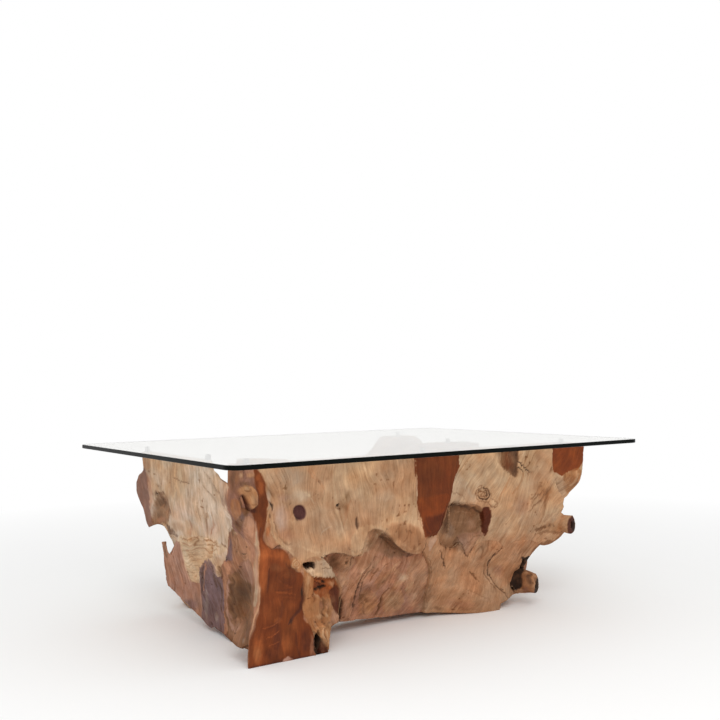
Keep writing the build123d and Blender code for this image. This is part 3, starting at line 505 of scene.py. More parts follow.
right_marks = [
    area(pale, [452, 470, 461, 474, 470, 490, 480, 500, 470, 504, 450, 503, 450, 490], 0.65, 3.5),
    line(brown, [451, 492, 458, 494, 466, 499], 1, 0.5, -1),
    line(pale, [455, 476, 463, 487, 475, 498], 1.5, 0.5, 1),
    # painted shade: the brown and umber areas, the shadow line and spots and the grey spots darken the
    # recess under the panel's shelf edge, which the brown area's rise also sinks
    area(brown, [449, 505, 456, 503, 467.7, 504, 476, 506.6, 482.4, 510, 483, 524, 483.5, 532, 476, 534,
         466, 539, 460, 543, 452, 548, 444, 546, 440, 540, 441.5, 528, 445, 516], 0.6, 5, -9),
    area(umber, [450, 506, 458, 504, 468, 505, 477, 508, 482, 512, 482, 526, 476, 531, 463, 533, 451, 536,
         446, 528, 447, 515], 0.65, 3),
    line(shadow, [449.6, 506.6, 458, 505.4, 468, 506.4, 477, 509.4, 482, 513], 2.4, 0.75),
    spot(shadow, 448, 520, 4.5, 14, 0.6),
    *spots(grey_wood, (462, 545, 10, 8, 0.45), (452, 530, 6, 12, 0.4)),
    spot(clay, 474, 524, 8, 8, 0.4, 2),
    spot(shadow, 446, 530, 4, 8, 0.4),
    *lines(tan, ([454, 513, 466, 512, 478, 516], 1, 0.4), ([455, 523, 468, 522, 480, 527], 1, 0.3)),
    area(deep_red, [482.4, 508.6, 488.6, 507.3, 491.4, 514, 490.2, 525, 486, 536.5, 483.4, 531, 482.6, 520],
         1, 1, -1.5, 0.9, 0.2),
    spot(cream, 484, 495, 10, 9, 0.45, 2.5),
    spot(umber, 484, 495, 8, 7, 0.3),
    rings(umber, 484, 495, 9, 8, 2.7, -1.6, 0.95),
    *lines(umber, ([492, 499, 495.6, 502, 494, 506], 0.9, 0.7, -1.2),
        ([477, 489, 480, 486.6, 484.6, 486.8], 0.9, 0.6, -1.2)),
    *lines(shadow,
        ([478, 492, 481, 488.5, 487, 489, 490, 493, 488, 498, 482, 499.5, 479, 496], 1.1, 0.8, -2),
        ([482, 492, 486, 491.5, 487, 495, 483.5, 496.5], 0.8, 0.8, -2)),
    spot(brown, 484.5, 494, 1.2, 1, 0.9, -1.5),
    spot(cream, 493, 503, 4, 4, 0.6, 2),
    line(brown, [489, 503, 492, 507.5, 496.5, 505, 496, 499], 0.8, 0.7, -1.5),
    # painted shade: umber, shadow and chestnut darken the recess at the top of the wall
    area(umber, [498.4, 450, 504, 449, 504, 467, 500, 463], 0.5, 2.5, -0.8),
    area(umber, [503, 449, 519, 448, 518.5, 468, 514.5, 477, 508, 470, 503, 466], 0.9, 1.8, -1.5),
    area(shadow, [511, 450, 519, 449, 518.3, 468, 514.5, 476, 511, 466], 0.7, 1.2, -1.5),
    spot(chestnut, 510, 461, 6, 12, 0.8),
    *lines(hole_shade, ([519, 461, 523, 465, 529.7, 472], 0.9, 0.8, -2.5),
        ([518.5, 467, 522.5, 470.5], 0.8, 0.8, -2)),
    line(cream, [520.5, 466, 524, 470.5, 524, 474], 1, 0.6, 1),
    area(mauve, [459, 538.5, 467.7, 556.5, 478, 538, 486, 534, 474, 532, 462, 535], 0.6, 1, 1.5),
    line(shadow, [458.7, 537.5, 463, 548, 467.7, 557.2, 473, 546, 478.5, 537.5], 0.8, 0.8, -2),
    line(brown, [466, 542, 471, 540.5, 475, 536, 482, 535], 0.8, 0.7, -1.5),
    area(brown, [456, 537, 460, 541, 466, 554, 460, 550], 0.5, 1.2),
    line(shadow, [440.4, 550, 443, 558, 445.5, 568.5], 0.9, 0.85, -2),
    spot(straw, 500, 478, 16, 14, 0.6),
    spot(tan, 515, 500, 16, 20, 0.5),
    spot(straw, 535, 465, 12, 10, 0.6),
    spot(tan, 530, 520, 14, 12, 0.5),
    *spots(warm, (545, 495, 12, 9, 0.55), (500, 543, 24, 12, 0.75), (530, 540, 18, 9, 0.7)),
    spot(honey, 545, 490, 12, 13, 0.5),
    spot(umber, 452, 546, 11, 8, 0.5),
    spot(mauve, 522, 506, 10, 12, 0.35),
    line(umber, [541, 484, 536, 494, 530, 500], 1.2, 0.5, -1),
    *lines(honey, ([510, 478, 505, 488, 498, 500], 1.6, 0.4, -0.6),
        ([524, 470, 520, 482, 512, 494], 1.6, 0.4, -0.6)),
    spot(tan, 478, 546, 12, 8, 0.5),
    *lines(brown, ([552, 484, 546.9, 491.8, 536.5, 503.8, 528, 512.5], 1, 0.6, -1.5),
        ([545, 488, 536, 498, 531, 506], 0.8, 0.6, -1), ([556, 478, 549, 487, 543, 495], 1.5, 0.35, -1)),
    area(orange, [553.7, 440, 552.9, 470, 557, 473, 562.4, 475, 568.4, 470.6, 580.4, 467.7, 584, 440],
         1, 0.7, 0, 1, 0.5),
    area(honey, [562.4, 476, 568.4, 471, 580, 469, 582, 480, 577, 490, 567, 497, 561, 488], 0.85, 1.8),
    line(straw, [565, 486, 571, 481, 579, 474], 1.6, 0.5),
    line(umber, [562, 492, 569, 486, 576, 480], 1, 0.5, -0.6),
    area(tan, [559, 478, 563, 484, 562, 498, 557, 510, 553, 506, 555, 492], 0.5, 2),
]
stub_marks = [
    area(tan, [536, 524, 550, 514, 562, 514, 573, 516, 573, 532, 560, 535, 548, 540, 538, 536], 0.5, 2),
    spot(honey, 556, 527, 14, 8, 0.6),
    # painted shade: umber along the underside of the branch
    area(umber, [533, 549, 539, 543.5, 546, 540, 553, 540, 560, 534.5, 562, 537, 554, 543.4, 546, 546,
         538, 550, 531, 556], 0.8, 2, -1),
    *lines(umber, ([538, 533, 548, 531, 560, 533, 570, 532], 2.5, 0.5, -1),
        ([535.4, 530.4, 539.6, 528.2, 545.4, 526], 2.6, 0.8, -2)),
    line(straw, [535, 526, 540, 524.6, 545, 522.6], 1.4, 0.6, 1),
    spot(umber, 550, 524.4, 2.4, 2.8, 0.9, -1.5),
    spot(brown, 554, 525, 1.2, 1, 0.7, -1),
    spot(umber, 545.4, 537.6, 2.6, 1.2, 0.8, -1),
    *spots(straw, (539, 539, 2, 4, 0.6, 1, 20), (565, 521.4, 2.4, 4, 0.5, 0.8)),
    # painted shade: the upper stub's end face, dark with bark and a darker centre from the next spot
    spot(bark, 572, 525, 5.6, 9.6, 1, 0, 0, 0.2, 0.2),
    spot(hole_shade, 572.4, 524.4, 3, 6.4, 0.85, -1, 0, 0.5, 0.2),
    area(umber, [522, 565, 530, 567, 538.6, 576, 539, 592, 532, 597, 522, 593, 519, 580], 0.8, 2.5),
    line(tan, [526, 566, 531, 571.4, 537, 576.4], 1.8, 0.8, 1.5),
    *spots(tan, (526, 573, 2.4, 4, 0.7, 2), (533, 583, 1.8, 5, 0.7, 2)),
    spot(shadow, 529.4, 580, 3, 5, 0.8, -2.5),
    line(shadow, [527.4, 577.4, 530, 574.6, 532.6, 574], 1.2, 0.8, -1.5),
    spot(dusk, 526, 589, 5, 3, 0.7, -1),
    spot(tan, 519, 589.6, 5, 2.5, 0.6, 1),
    # painted shade: the lower stub's end face
    spot(hole_shade, 536.8, 584, 2.9, 10.4, 1, 0, 10, 0.25, 0.2),
    # painted shade: the dark gap between the wall and the lower stub
    area(hole_shade, [522.6, 557.4, 524.4, 556, 530, 556, 529, 560, 526.4, 564, 524, 569, 521, 574, 517, 573,
         520.4, 566], 1, 1),
    area(hole_shade, [519.5, 567, 523.5, 568, 522.5, 574, 522, 584, 516, 588.4, 507.3, 588, 508.6, 581.3,
         515, 572.7], 1, 1.2, -14),
    # painted light: a small bright spot where the white beyond shows through the gap
    spot(cream, 509.2, 586.6, 1.3, 1),
]
lower_right_marks = [
    *spots(tan, (450, 585, 16, 18, 0.6), (440, 590, 6, 14, 0.5, 0, 12)),
    *spots(mauve, (452, 602, 14, 5, 0.4), (498, 570, 7, 7, 0.5)),
    spot(warm, 478, 598, 16, 6, 0.4),
    spot(tan, 470, 560, 10, 8, 0.5),
    *lines(umber, ([471, 572, 473, 575, 475, 580], 2.2, 0.9, -2),
        ([431.4, 585, 429.6, 593, 428, 602], 2.2, 0.3, -1.5)),
    line(shadow, [503.8, 547.7, 498, 551, 493.5, 555.5, 489.5, 562, 487.5, 569, 488, 577.9, 495, 590,
        501, 602], 0.9, 0.95, -2.5),
    line(brown, [484, 569, 485, 580, 490, 587], 0.8, 0.8, -1.5),
    spot(shadow, 495, 586.5, 1.2, 1, 0.8, -1),
    line(brown, [462, 588, 470, 592, 478, 598], 1, 0.35, -1),
    line(tan, [436, 566, 438, 580, 434, 600], 2.5, 0.4, 1),
    line(brown, [424, 592, 427, 597, 426, 608], 1, 0.5, -1),
    *spots(brown, (436, 608, 8, 2.5, 0.5), (460, 606, 12, 2, 0.4)),
]
slab_marks = [
    area(sand, [203, 470, 213.6, 470, 220.4, 479, 228.6, 485, 228.4, 490, 226.6, 499, 228.4, 509, 232, 520,
         231, 532, 214, 545, 203, 540], 0.8, 1.4),
    spot(tan, 220, 522, 10, 16, 0.4),
    line(dusk, [226.6, 489, 226, 498, 227.6, 508, 231, 518], 1.3, 0.6),
    spot(clay, 144, 464, 4, 6, 0.5),
    *spots(rose, (212, 528, 12, 9, 0.3), (182, 512, 18, 10, 0.25)),
    *spots(sand, (160, 478, 12, 12, 0.6), (195, 500, 16, 22, 0.4)),
    spot(straw, 176, 492, 8, 8, 0.5),
    area(warm, [140, 456, 149, 458, 151, 466, 146, 470, 141.5, 466], 0.6, 2),
    area(lilac, [146, 470, 150, 476, 152, 492, 153, 505, 152, 520, 147, 505, 144, 480], 0.5, 2),
    area(clay, [146, 472, 149.5, 480, 151.5, 495, 151.5, 508, 149, 505, 147, 488], 0.6, 1.5),
    area(dusk, [144.5, 468, 141, 473.7, 136, 478, 133, 486, 137, 498, 142, 510, 146, 526, 150.3, 528,
         151.4, 519.6, 149.6, 508.9, 148.6, 493.6, 147, 478.3], 0.95, 1.2, 0, 0.9, 0.3),
    *spots(brown, (149, 471, 2.2, 2, 0.6), (157.5, 485.5, 1.8, 1.6, 0.6, -1)),
    area(brown, [154.5, 497, 159, 492.5, 163, 492, 168.3, 498, 171.3, 508.9, 169.8, 518, 164.4, 525,
         158.3, 523, 150.6, 527, 152.2, 512.7], 0.7, 1.6, -4),
    *spots(shadow, (159, 502, 4, 6, 0.6, -4), (156, 517, 3, 6, 0.4)),
    spot(warm, 164, 513, 4.6, 7, 0.7, 3),
    line(shadow, [168, 500, 166.6, 508, 164, 518], 1, 0.5, -2),
    line(straw, [160.5, 494, 165, 497, 169.6, 505, 171.4, 514], 1.2, 0.6, 1.5),
    spot(clay, 158, 520, 5, 4, 0.6),
    line(warm, [154, 512, 158, 506, 160, 498], 0.9, 0.5, 1),
    spot(hole_shade, 155.2, 492.8, 1.7, 3, 1, -6),
    line(brown, [172.8, 476.3, 179, 480.6, 185, 482.5, 191.2, 483.6], 0.7, 0.7, -1.5),
    *lines(ash, ([203.5, 485.9, 211, 493.6, 215.7, 503.5, 218, 516.5], 1.8, 0.6, -1.5),
        ([214.2, 485.9, 221.8, 496.6, 228.7, 508.9], 1.4, 0.6, -1.5),
        ([205, 472, 212, 484, 217, 492], 2.2, 0.5, -1.5), ([200, 470, 203, 482, 207, 488], 2, 0.5)),
    line(pale, [208, 474, 216, 486, 224, 498], 1.6, 0.5, 1.5),
    line(clay, [212.5, 512, 213, 525, 211, 536], 1.2, 0.6, -0.6),
    *lines(ash, ([178, 488, 177, 502, 174, 515], 1.5, 0.4), ([190, 488, 192, 500, 190, 520], 1.5, 0.35)),
    line(clay, [191, 518, 192, 526, 191, 535], 1.5, 0.5),
    area(sand, [219, 505, 227, 508, 232, 520, 229, 536, 223, 542, 219, 528], 0.6, 2),
    spot(brown, 212.6, 515, 0.9, 1, 0.7, -0.5),
    area(shadow, [165, 524, 171, 527, 175, 531, 180, 536, 176, 536, 170, 534, 167, 529], 0.7, 1),
    # painted shade: brown spot in the shadowed lobe under the slab's edge
    spot(brown, 172, 530, 3, 3, 0.5),
    spot(tan, 178, 526, 8, 7, 0.5),
]
left_lower_marks = [
    area(cream, [179.7, 536.4, 194.9, 538, 209.2, 536.8, 218.8, 542, 226, 547, 224.4, 552, 216, 556.3,
         212.4, 566, 205, 566, 202, 574.6, 196.5, 582, 190.9, 579.4, 186.9, 565.9, 183.7, 551.5, 181, 545],
         0.7, 2, 1.5),
    *lines(honey, ([206, 543, 213, 545.6, 221, 546], 1, 0.6, -1.2),
        ([204, 549, 211, 551, 219, 549.6], 0.9, 0.6, -1)),
    line(tan, [206, 555, 212, 556.6, 217, 554], 0.9, 0.6, -1),
    *lines(honey, ([204, 538.6, 212, 540.6, 218, 544], 1.2, 0.7, -1.5),
        ([182, 538.4, 191, 539.8, 200, 538.8], 1, 0.6, -1.2)),
    *lines(tan, ([187, 558.6, 194, 557.4, 202, 558.6], 0.8, 0.5, -1),
        ([189, 566.4, 195, 565, 201, 566], 0.8, 0.5, -1)),
    line(honey, [198, 574, 196, 579], 0.9, 0.5, -0.8),
    *lines(warm, ([183, 543, 190, 545.5, 197, 544], 1.5, 0.7, -1),
        ([184, 551, 192, 549.5, 200, 548.5, 209, 549.5], 1, 0.6, -1.2)),
    *lines(tan, ([186, 556, 193, 554, 201, 556], 0.9, 0.6, -1),
        ([188, 563, 195, 561, 203, 559], 0.9, 0.6, -1)),
    *lines(brown, ([191, 552, 195, 552.8], 0.6, 0.6, -0.6), ([200, 567, 203, 570], 0.9, 0.6, -1)),
    line(tan, [190, 570, 195, 574, 199, 572], 1, 0.6, -1),
    spot(gold, 213, 548, 2.5, 3, 0.6, -1),
    line(brown, [212, 547, 213, 551], 0.7, 0.7, -1),
    spot(tan, 217, 560, 5, 6, 0.6),
    area(brown, [216.4, 567.5, 221.2, 566.7, 222.5, 577.5, 218, 577], 0.9, 1.2, -5),
    spot(shadow, 219.8, 574, 2, 2.8, 0.8, -2),
    line(brown, [222, 543, 224, 545, 226, 547], 0.8, 0.6, -1),
    area(mauve, [163, 543, 168, 556, 177, 548, 180, 542, 184, 560, 190, 582, 201, 585, 204, 620, 190, 609,
         167, 586], 0.5, 5),
    area(brown, [164, 544, 166.5, 548, 169.5, 555, 168, 558, 165, 552], 0.6, 1),
    line(dusk, [165, 558, 167, 572, 168, 585], 2, 0.6),
    spot(purple, 190, 605, 10, 8, 0.7),
    spot(clay, 176, 570, 6, 12, 0.4),
    area(purple, [201.5, 568, 203.5, 563, 206, 559.5, 208, 562, 210.5, 558.7, 214, 564.3, 217.2, 577,
         222, 579.4, 225.2, 593.8, 224.4, 632, 214, 626, 210.8, 628, 202.8, 620, 204.4, 601.8, 201, 581],
         0.9, 1.2, 1),
    line(clay, [206.5, 562, 206.5, 578, 208, 590], 1.3, 0.7, 1.5),
    *lines(shadow, ([203.8, 566, 205, 590, 206, 612], 1, 0.6, -1.5),
        ([216, 578, 221, 590, 222, 612], 1.4, 0.6, -1.5)),
    line(grey_wood, [210, 590, 209, 604, 208, 618], 2.2, 0.6),
    spot(grey_wood, 216.5, 617, 2.4, 6.5, 0.7, 1),
    line(shadow, [212, 566, 215, 578, 216, 586], 1.2, 0.5, -1.2),
    area(clay, [222.8, 563, 228, 559.8, 230.5, 563, 231.3, 570, 228.4, 577.8, 226.8, 585.8, 225.8, 609.7,
         228.4, 629.7, 225.2, 633, 225, 600, 222.5, 578], 0.85, 0.9, 1.5),
    area(purple, [230, 538, 232.5, 546, 232.7, 558, 230, 560, 226, 559, 228.4, 550.7], 0.9, 1, 1),
    line(hole_shade, [226.5, 557, 228, 559.4], 1, 0.7, -1.5),
]
bowl_marks = [
    area(warm, [233, 536, 240, 533, 248, 545, 251, 556, 250, 561, 239, 562, 233, 572, 232, 560], 0.6, 1.5),
    spot(cream, 236, 533, 3.5, 2.5, 0.5, 1),
    spot(shadow, 246.7, 546.7, 1, 1, 0.9, -1.5),
    line(shadow, [240.5, 555, 243, 553.5, 247, 554], 1, 0.8, -2),
    spot(brown, 245, 557, 3, 2, 0.6, -1),
    spot(hole_shade, 236.3, 567.5, 1.5, 1.2, 0.8, -2),
    line(brown, [237, 549, 235, 553], 1, 0.6, -1),
    area(brown, [230, 578, 236, 569, 241, 561.5, 249.9, 560.5, 253.9, 571.5, 254.7, 609.7, 253.9, 621,
         249.9, 633.7, 249.9, 644, 242.7, 648.5, 231.6, 641, 228.6, 629.7, 226.2, 609.7, 227.8, 585.8],
         0.95, 1.2),
    area(rose, [238, 565, 243, 561.5, 250, 561, 253.5, 572, 253.6, 582, 247, 586, 237, 580], 0.7, 4),
    line(umber, [233, 580, 236, 592, 234, 606, 238, 618], 2.2, 0.5, -1.5),
    line(shadow, [231, 577, 229.8, 592, 230.4, 608, 233, 624], 1.6, 0.5, -1.5),
    line(rose, [229, 576, 227.4, 591, 227.4, 607, 229.6, 622, 234.4, 634], 1.4, 0.8, 1.5),
    line(honey, [236, 604, 243, 610, 248, 622], 1.6, 0.4, 1),
    spot(umber, 246, 628, 4, 8, 0.4, -1),
    spot(shadow, 236, 592, 6, 12, 0.6),
    line(warm, [240, 598, 246, 602, 251, 614], 0.9, 0.6),
    spot(grey_wood, 245, 591, 2.6, 2.4, 0.8, 2.5),
    spot(hole_shade, 243.4, 589, 0.9, 1.2, 0.8, -1.5),
    area(clay, [229, 625, 233, 618, 239, 626, 240, 640, 236, 642, 230, 636], 0.45, 2.5, 1),
    spot(rose, 235, 628, 3, 5, 0.4, 1),
    spot(shadow, 234, 633.7, 1.2, 1.4, 0.9, -1.5),
    line(shadow, [238, 618, 244, 630, 247, 642], 1.5, 0.5),
    spot(grey_wood, 243, 641, 2.5, 3.5, 0.6),
]
marks = (panel_marks + shoulder_marks + centre_marks + right_marks + stub_marks + lower_right_marks
         + post_marks + foot_marks + burl_marks + insert_marks + slab_marks + left_lower_marks + bowl_marks)

# Looks of each wood piece: its two main colours, its wall, the lean of its grain in degrees, the height of
# its bumps in millimetres, and its material slot
wood_looks = {
    "corner_post": (mauve, dusk, "front", 0, 1.0, "red_heartwood"),
    "gnarled_burl": (tan, brown, "front", 10, 3.0, "pale_root"),
    "front_left_panel": (straw, tan, "front", 0, 1.6, "pale_root"),
    "wedge_arm": (tan, mauve, "front", 0, 0.6, "red_heartwood"),
    "front_right_panel": (straw, tan, "front", -32, 2.2, "pale_root"),
    "right_corner_block": (straw, tan, "front", -28, 1.0, "red_heartwood"),
    "upper_stub_root": (straw, tan, "front", -50, 2.5, "pale_root"),
    "lower_centre_root": (clay, mauve, "front", -25, 4.2, "mauve_root"),
    "lower_right_root": (tan, warm, "front", -12, 2.4, "pale_root"),
    "lower_stub_root": (tan, warm, "front", -30, 2.8, "pale_root"),
    "left_slab": (sand, straw, "left", 4, 2.0, "pale_root"),
    "fibrous_wedge": (cream, tan, "left", 80, 2.0, "pale_root"),
    "left_lower_plate": (rose, clay, "left", 8, 1.2, "mauve_root"),
    "grey_fin_root": (purple, dusk, "left", 0, 2.5, "mauve_root"),
    "hollow_bowl_root": (mauve, brown, "left", 0, 2.0, "mauve_root"),
    "back_left_root": (pale, tan, "front", -10, 2.5, "pale_root"),
    "back_centre_root": (warm, mauve, "front", 20, 3.0, "mauve_root"),
    "back_right_root": (pale, warm, "front", -20, 2.5, "pale_root"),
    "back_corner_root": (tan, warm, "front", 5, 2.0, "pale_root"),
    "right_end_slab": (pale, tan, "left", 60, 2.5, "pale_root"),
    "right_end_root": (warm, mauve, "left", 10, 3.0, "mauve_root"),
}
back_walls = ("back_left_root", "back_centre_root", "back_right_root", "back_corner_root", "right_end_slab",
              "right_end_root")
wood_top = max(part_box(node)[1].z for node in wood_looks)
millimetres_per_metre = 1000

# Faces of each piece's mesh, its smallest face side in metres, and how much it is softened
shown_faces = 80000
hidden_faces = 34000
finest_voxel = 0.0014
soften_steps = 4
soften_factor = 0.5
merge_gap = 1e-6

# Cuts that shape the edges as the photograph shows them: pieces and an outline in pixels. Each cut reaches
# from the near to the far distance from the camera, in metres.
cut_near = 1.5
cut_far = 3.6
branch_notch = [(560.4, 512), (563.6, 507), (568, 503), (576, 499), (590, 500), (590, 514.6), (575, 515),
                (564, 515.4)]
gap_outline = [(205, 430), (213.5, 470.5), (218, 474.8), (220.4, 479.4), (225, 482.5), (228.4, 485.5),
               (228.5, 470), (228.6, 430)]
foot_edge_outline = [(249.5, 643.7), (248.6, 652), (248.2, 660), (248.4, 672), (248.5, 700), (200, 700),
                     (200, 630), (230, 638), (236.1, 644.8), (242.2, 647.5), (245.3, 646)]
left_edge_outline = [(162.8, 543), (163.2, 547), (164.4, 558.6), (166.1, 578.3), (167.2, 585.1),
                     (174.1, 592), (179.5, 596.6), (189.4, 607.3), (200.9, 618), (210.9, 627.2),
                     (213.9, 626.1), (220, 631), (230, 638.7), (236.1, 644.8), (242.2, 647.5), (243, 690),
                     (140, 690), (140, 543)]
spike_outline = [(166.9, 530), (167.2, 544.5), (168.9, 551), (171, 555.2), (173, 551), (175.3, 546),
                 (177.3, 539.5), (178, 530)]
bite_outline = [(148.2, 526.9), (157.4, 523), (162.3, 524.6), (166.5, 529.6), (170.6, 534), (174, 534.5),
                (177.3, 539.5), (175, 556), (120, 560), (120, 530)]
slab_edge_outline = [(100, 440), (141.2, 440), (141.2, 457.8), (142.9, 466.5), (142.4, 471.5),
                     (138.5, 476.4), (136.2, 482), (136.3, 490), (137.9, 496.4), (140.6, 502.4),
                     (143.3, 508), (145.8, 519.6), (148.2, 526.9), (140, 535), (100, 535)]
right_corner_outline = [(485, 640), (485.6, 603), (487.5, 599.5), (497, 596.5), (505, 592.5), (512, 591.5),
                        (524, 592.6), (538, 590.5), (560, 600), (560, 640)]
cuts = [
    (("upper_stub_root", "front_right_panel", "right_corner_block"), branch_notch),
    (("left_slab", "corner_post"), gap_outline),
    (("corner_post",), foot_edge_outline),
    (("left_lower_plate", "grey_fin_root", "hollow_bowl_root", "back_left_root"), left_edge_outline),
    (("left_lower_plate",), spike_outline),
    (("left_slab",), bite_outline),
    (("left_slab",), slab_edge_outline),
    (("lower_right_root", "lower_stub_root"), right_corner_outline),
]

# Forms that swell beyond the plain walls: centre and half size in pixels, and their way in millimetres
swells = [
    ((571, 489), (19, 19), (22, 0, 0)),
    ((571, 524), (9, 16), (6, 0, -6)),
    ((484, 612), (56, 46), (0, -56, 0)),
    ((407, 540), (24, 17), (0, -9, 0)),
    ((318, 600), (22, 55), (0, -8, 0)),
    ((180, 560), (34, 40), (-5, 0, 0)),
    ((240, 600), (14, 52), (26, 0, 0)),
    ((161, 508), (11, 17), (12, 0, 0)),
    ((208, 595), (10, 44), (-7, 0, 0)),
    ((190, 500), (34, 40), (-6, 0, 0)),
    ((539, 584), (15, 17), (4, 0, -9)),
    ((561, 498), (8, 9), (10, 0, 0)),
]

# Noises of the wood: size in millimetres, seed, octaves, and the share that each octave keeps of the last
wood_noises = {
    "grain, slow": (110, 3, 1, 1), "grain, quick": (38, 4, 1, 1),
    "mottle": (16, 41, 3, 0.5), "tone": (70, 21, 4, 0.5), "warmth": (34, 61, 3, 0.5),
    "edge, across": (16, 5, 4, 0.6), "edge, down": (16, 6, 4, 0.6),
    "fibre, across": (3, 7, 1, 1), "fibre, down": (3, 8, 1, 1),
    "bumps": (55, 31, 4, 0.5), "small bumps": (17, 33, 3, 0.5),
    "drift, level": (34, 71, 3, 0.5), "drift, upright": (34, 81, 3, 0.5),
    "pit places": (45, 51, 2, 0.5),
    # These differ from piece to piece, because the piece's own seed is added
    "grooves": (11, 9, 1, 1), "crack places": (60, 3, 2, 0.5), "pits": (7, 12, 1, 1),
    "streaks": (6, 0, 4, 0.65), "patches": (26, 5, 4, 0.6),
}
# How much longer noises are along and through the grain than across it
fibre_stretch = np.array([1, 9, 3])
groove_stretch = np.array([1, 12, 4])
streak_stretch = np.array([1, 16, 6])

# How far the grain wavers, in millimetres, slowly and quickly, and the marks' edges, in pixels
grain_waver = (22, 7)
fibre_waver = (0.8, 1.6)
edge_waver = {"pale_root": 0.8, "mauve_root": 0.8, "red_heartwood": 0.48}

# Ranges over which something fades in: noise values, or the cosine between a face and a direction
tone_range = (-0.7, 0.7)
crack_range = (0.0, 0.7)
pit_range = (0.62, 0.8)
pit_places_range = (0.1, 0.6)
seen_range = (-0.25, 0.05)
facing_range = (0.15, 0.6)

# Depths from the table's middle, in millimetres, between which the front's marks fade in, and the wedge's
front_paint = (-215, -230)
wedge_paint = (-318, -328)

# Strengths of the wood's colours, and heights of its relief in millimetres
mottle = 0.45
contrasts = {"pale_root": (0.056, 0.08), "mauve_root": (0.09, 0.11), "red_heartwood": (0.085, 0.1)}
shade_tint = np.array([0.8, 1.05, 1.3])
warmth_tint = np.array([0.035, 0, -0.035])
crack_sharpness = 14
# how much painted shade darkens the cracks and pits
hollow_shade = 0.28
flat_calm = 0.3
small_bump_share = 0.35
streak_height = 0.25
crack_depth = 1.6
pit_depth = 1.5
drift = 1.6
seam_overlap = 1.5
darkest = 0.01

# The screen's colour scale: where its straight part ends, that part's slope, and the rest's offset and power
screen_bend = 0.04045
screen_slope = 12.92
screen_offset = 0.055
screen_power = 2.4

# Shapes of the marks: where a spot's edge ends, where a line's and an area's edges run, how thin a line's
# ends get, how rings begin and fade, and how far round its points a mark is looked for
spot_edge = 1.1
line_edge = (0.25, 1.0)
area_edge = (-0.5, 0.5)
line_tip = 0.15
ring_wave = (0.1, 0.8)
ring_edge = (0.75, 1.1)
mark_margin = 1.5
curve_parts = (0.0, 0.25, 0.5, 0.75)
shortest_span = 1e-9


def curve_through(points, closed):
    """Points along a smooth curve through a few, four steps to a span."""
    if closed:
        before = np.roll(points, 1, axis=0)
        starts = points
        after = np.roll(points, -1, axis=0)
        later = np.roll(points, -2, axis=0)
    else:
        before = np.vstack([points[:1], points[:-2]])
        starts = points[:-1]
        after = points[1:]
        later = np.vstack([points[2:], points[-1:]])
    slope = after - before
    bend = 2 * before - 5 * starts + 4 * after - later
    turn = 3 * starts - before - 3 * after + later
    steps = [starts + (slope * part + bend * part ** 2 + turn * part ** 3) / 2 for part in curve_parts]
    path = np.stack(steps, axis=1).reshape(-1, 2)
    return np.vstack([path, points[:1] if closed else points[-1:]])


def distance_to(path, pixels):
    """Least distance from each pixel to a path, and how far along the path that is, as a share."""
    best = np.full(len(pixels), np.inf)
    along = np.zeros(len(pixels))
    for number, (start, end) in enumerate(zip(path[:-1], path[1:])):
        span = end - start
        part = np.clip(((pixels - start) @ span) / max(span @ span, shortest_span), 0, 1)
        gap = np.linalg.norm(pixels - start - part[:, None] * span, axis=1)
        nearer = gap < best
        best[nearer] = gap[nearer]
        along[nearer] = (number + part[nearer]) / (len(path) - 1)
    return best, along


def lies_inside(outline, pixels):
    """True where a pixel lies inside a closed outline."""
    crossed = np.zeros(len(pixels), bool)
    for (x1, y1), (x2, y2) in zip(outline[:-1], outline[1:]):
        if y1 == y2:
            continue
        straddles = (y1 > pixels[:, 1]) != (y2 > pixels[:, 1])
        crossing = x1 + (pixels[:, 1] - y1) * (x2 - x1) / (y2 - y1)
        crossed ^= straddles & (pixels[:, 0] < crossing)
    return crossed


def spot_share(mark, pixels):
    """How strongly a spot covers pixels, from 0 to 1."""
    turn = radians(mark["turn"])
    away = pixels - mark["points"][0]
    wide, high = mark["radii"]
    across = (away[:, 0] * cos(turn) + away[:, 1] * sin(turn)) / wide
    down = (away[:, 1] * cos(turn) - away[:, 0] * sin(turn)) / high
    return 1 - smooth(spot_edge - mark["soft"], spot_edge, np.hypot(across, down))


def line_share(mark, pixels):
    """How strongly a line covers pixels, from 0 to 1."""
    gap, along = distance_to(curve_through(mark["points"], False), pixels)
    taper = np.sqrt(np.clip(4 * along * (1 - along), line_tip, 1))
    return 1 - smooth(*line_edge, gap / (mark["reach"] * taper))


def rings_share(mark, pixels):
    """How strongly rings cover pixels, from 0 to 1."""
    away = (pixels - mark["points"][0]) / mark["radii"]
    reach = np.hypot(away[:, 0], away[:, 1])
    wave = np.cos(reach * mark["reach"] / mark["gap"] * 2 * pi)
    return smooth(*ring_wave, wave) * (1 - smooth(*ring_edge, reach))


def area_share(mark, pixels):
    """How strongly an area covers pixels, from 0 to 1."""
    outline = curve_through(mark["points"], True)
    gap, _ = distance_to(outline, pixels)
    signed = np.where(lies_inside(outline, pixels), gap, -gap)
    return smooth(area_edge[0] * mark["reach"], area_edge[1] * mark["reach"], signed)


shares = {"spot": spot_share, "line": line_share, "rings": rings_share, "area": area_share}


def wood_noise(places, name, piece_seed=0):
    """One of the wood's noises, at places in millimetres."""
    size, seed, octaves, keep = wood_noises[name]
    return rough(places, size, seed + piece_seed, octaves, keep)


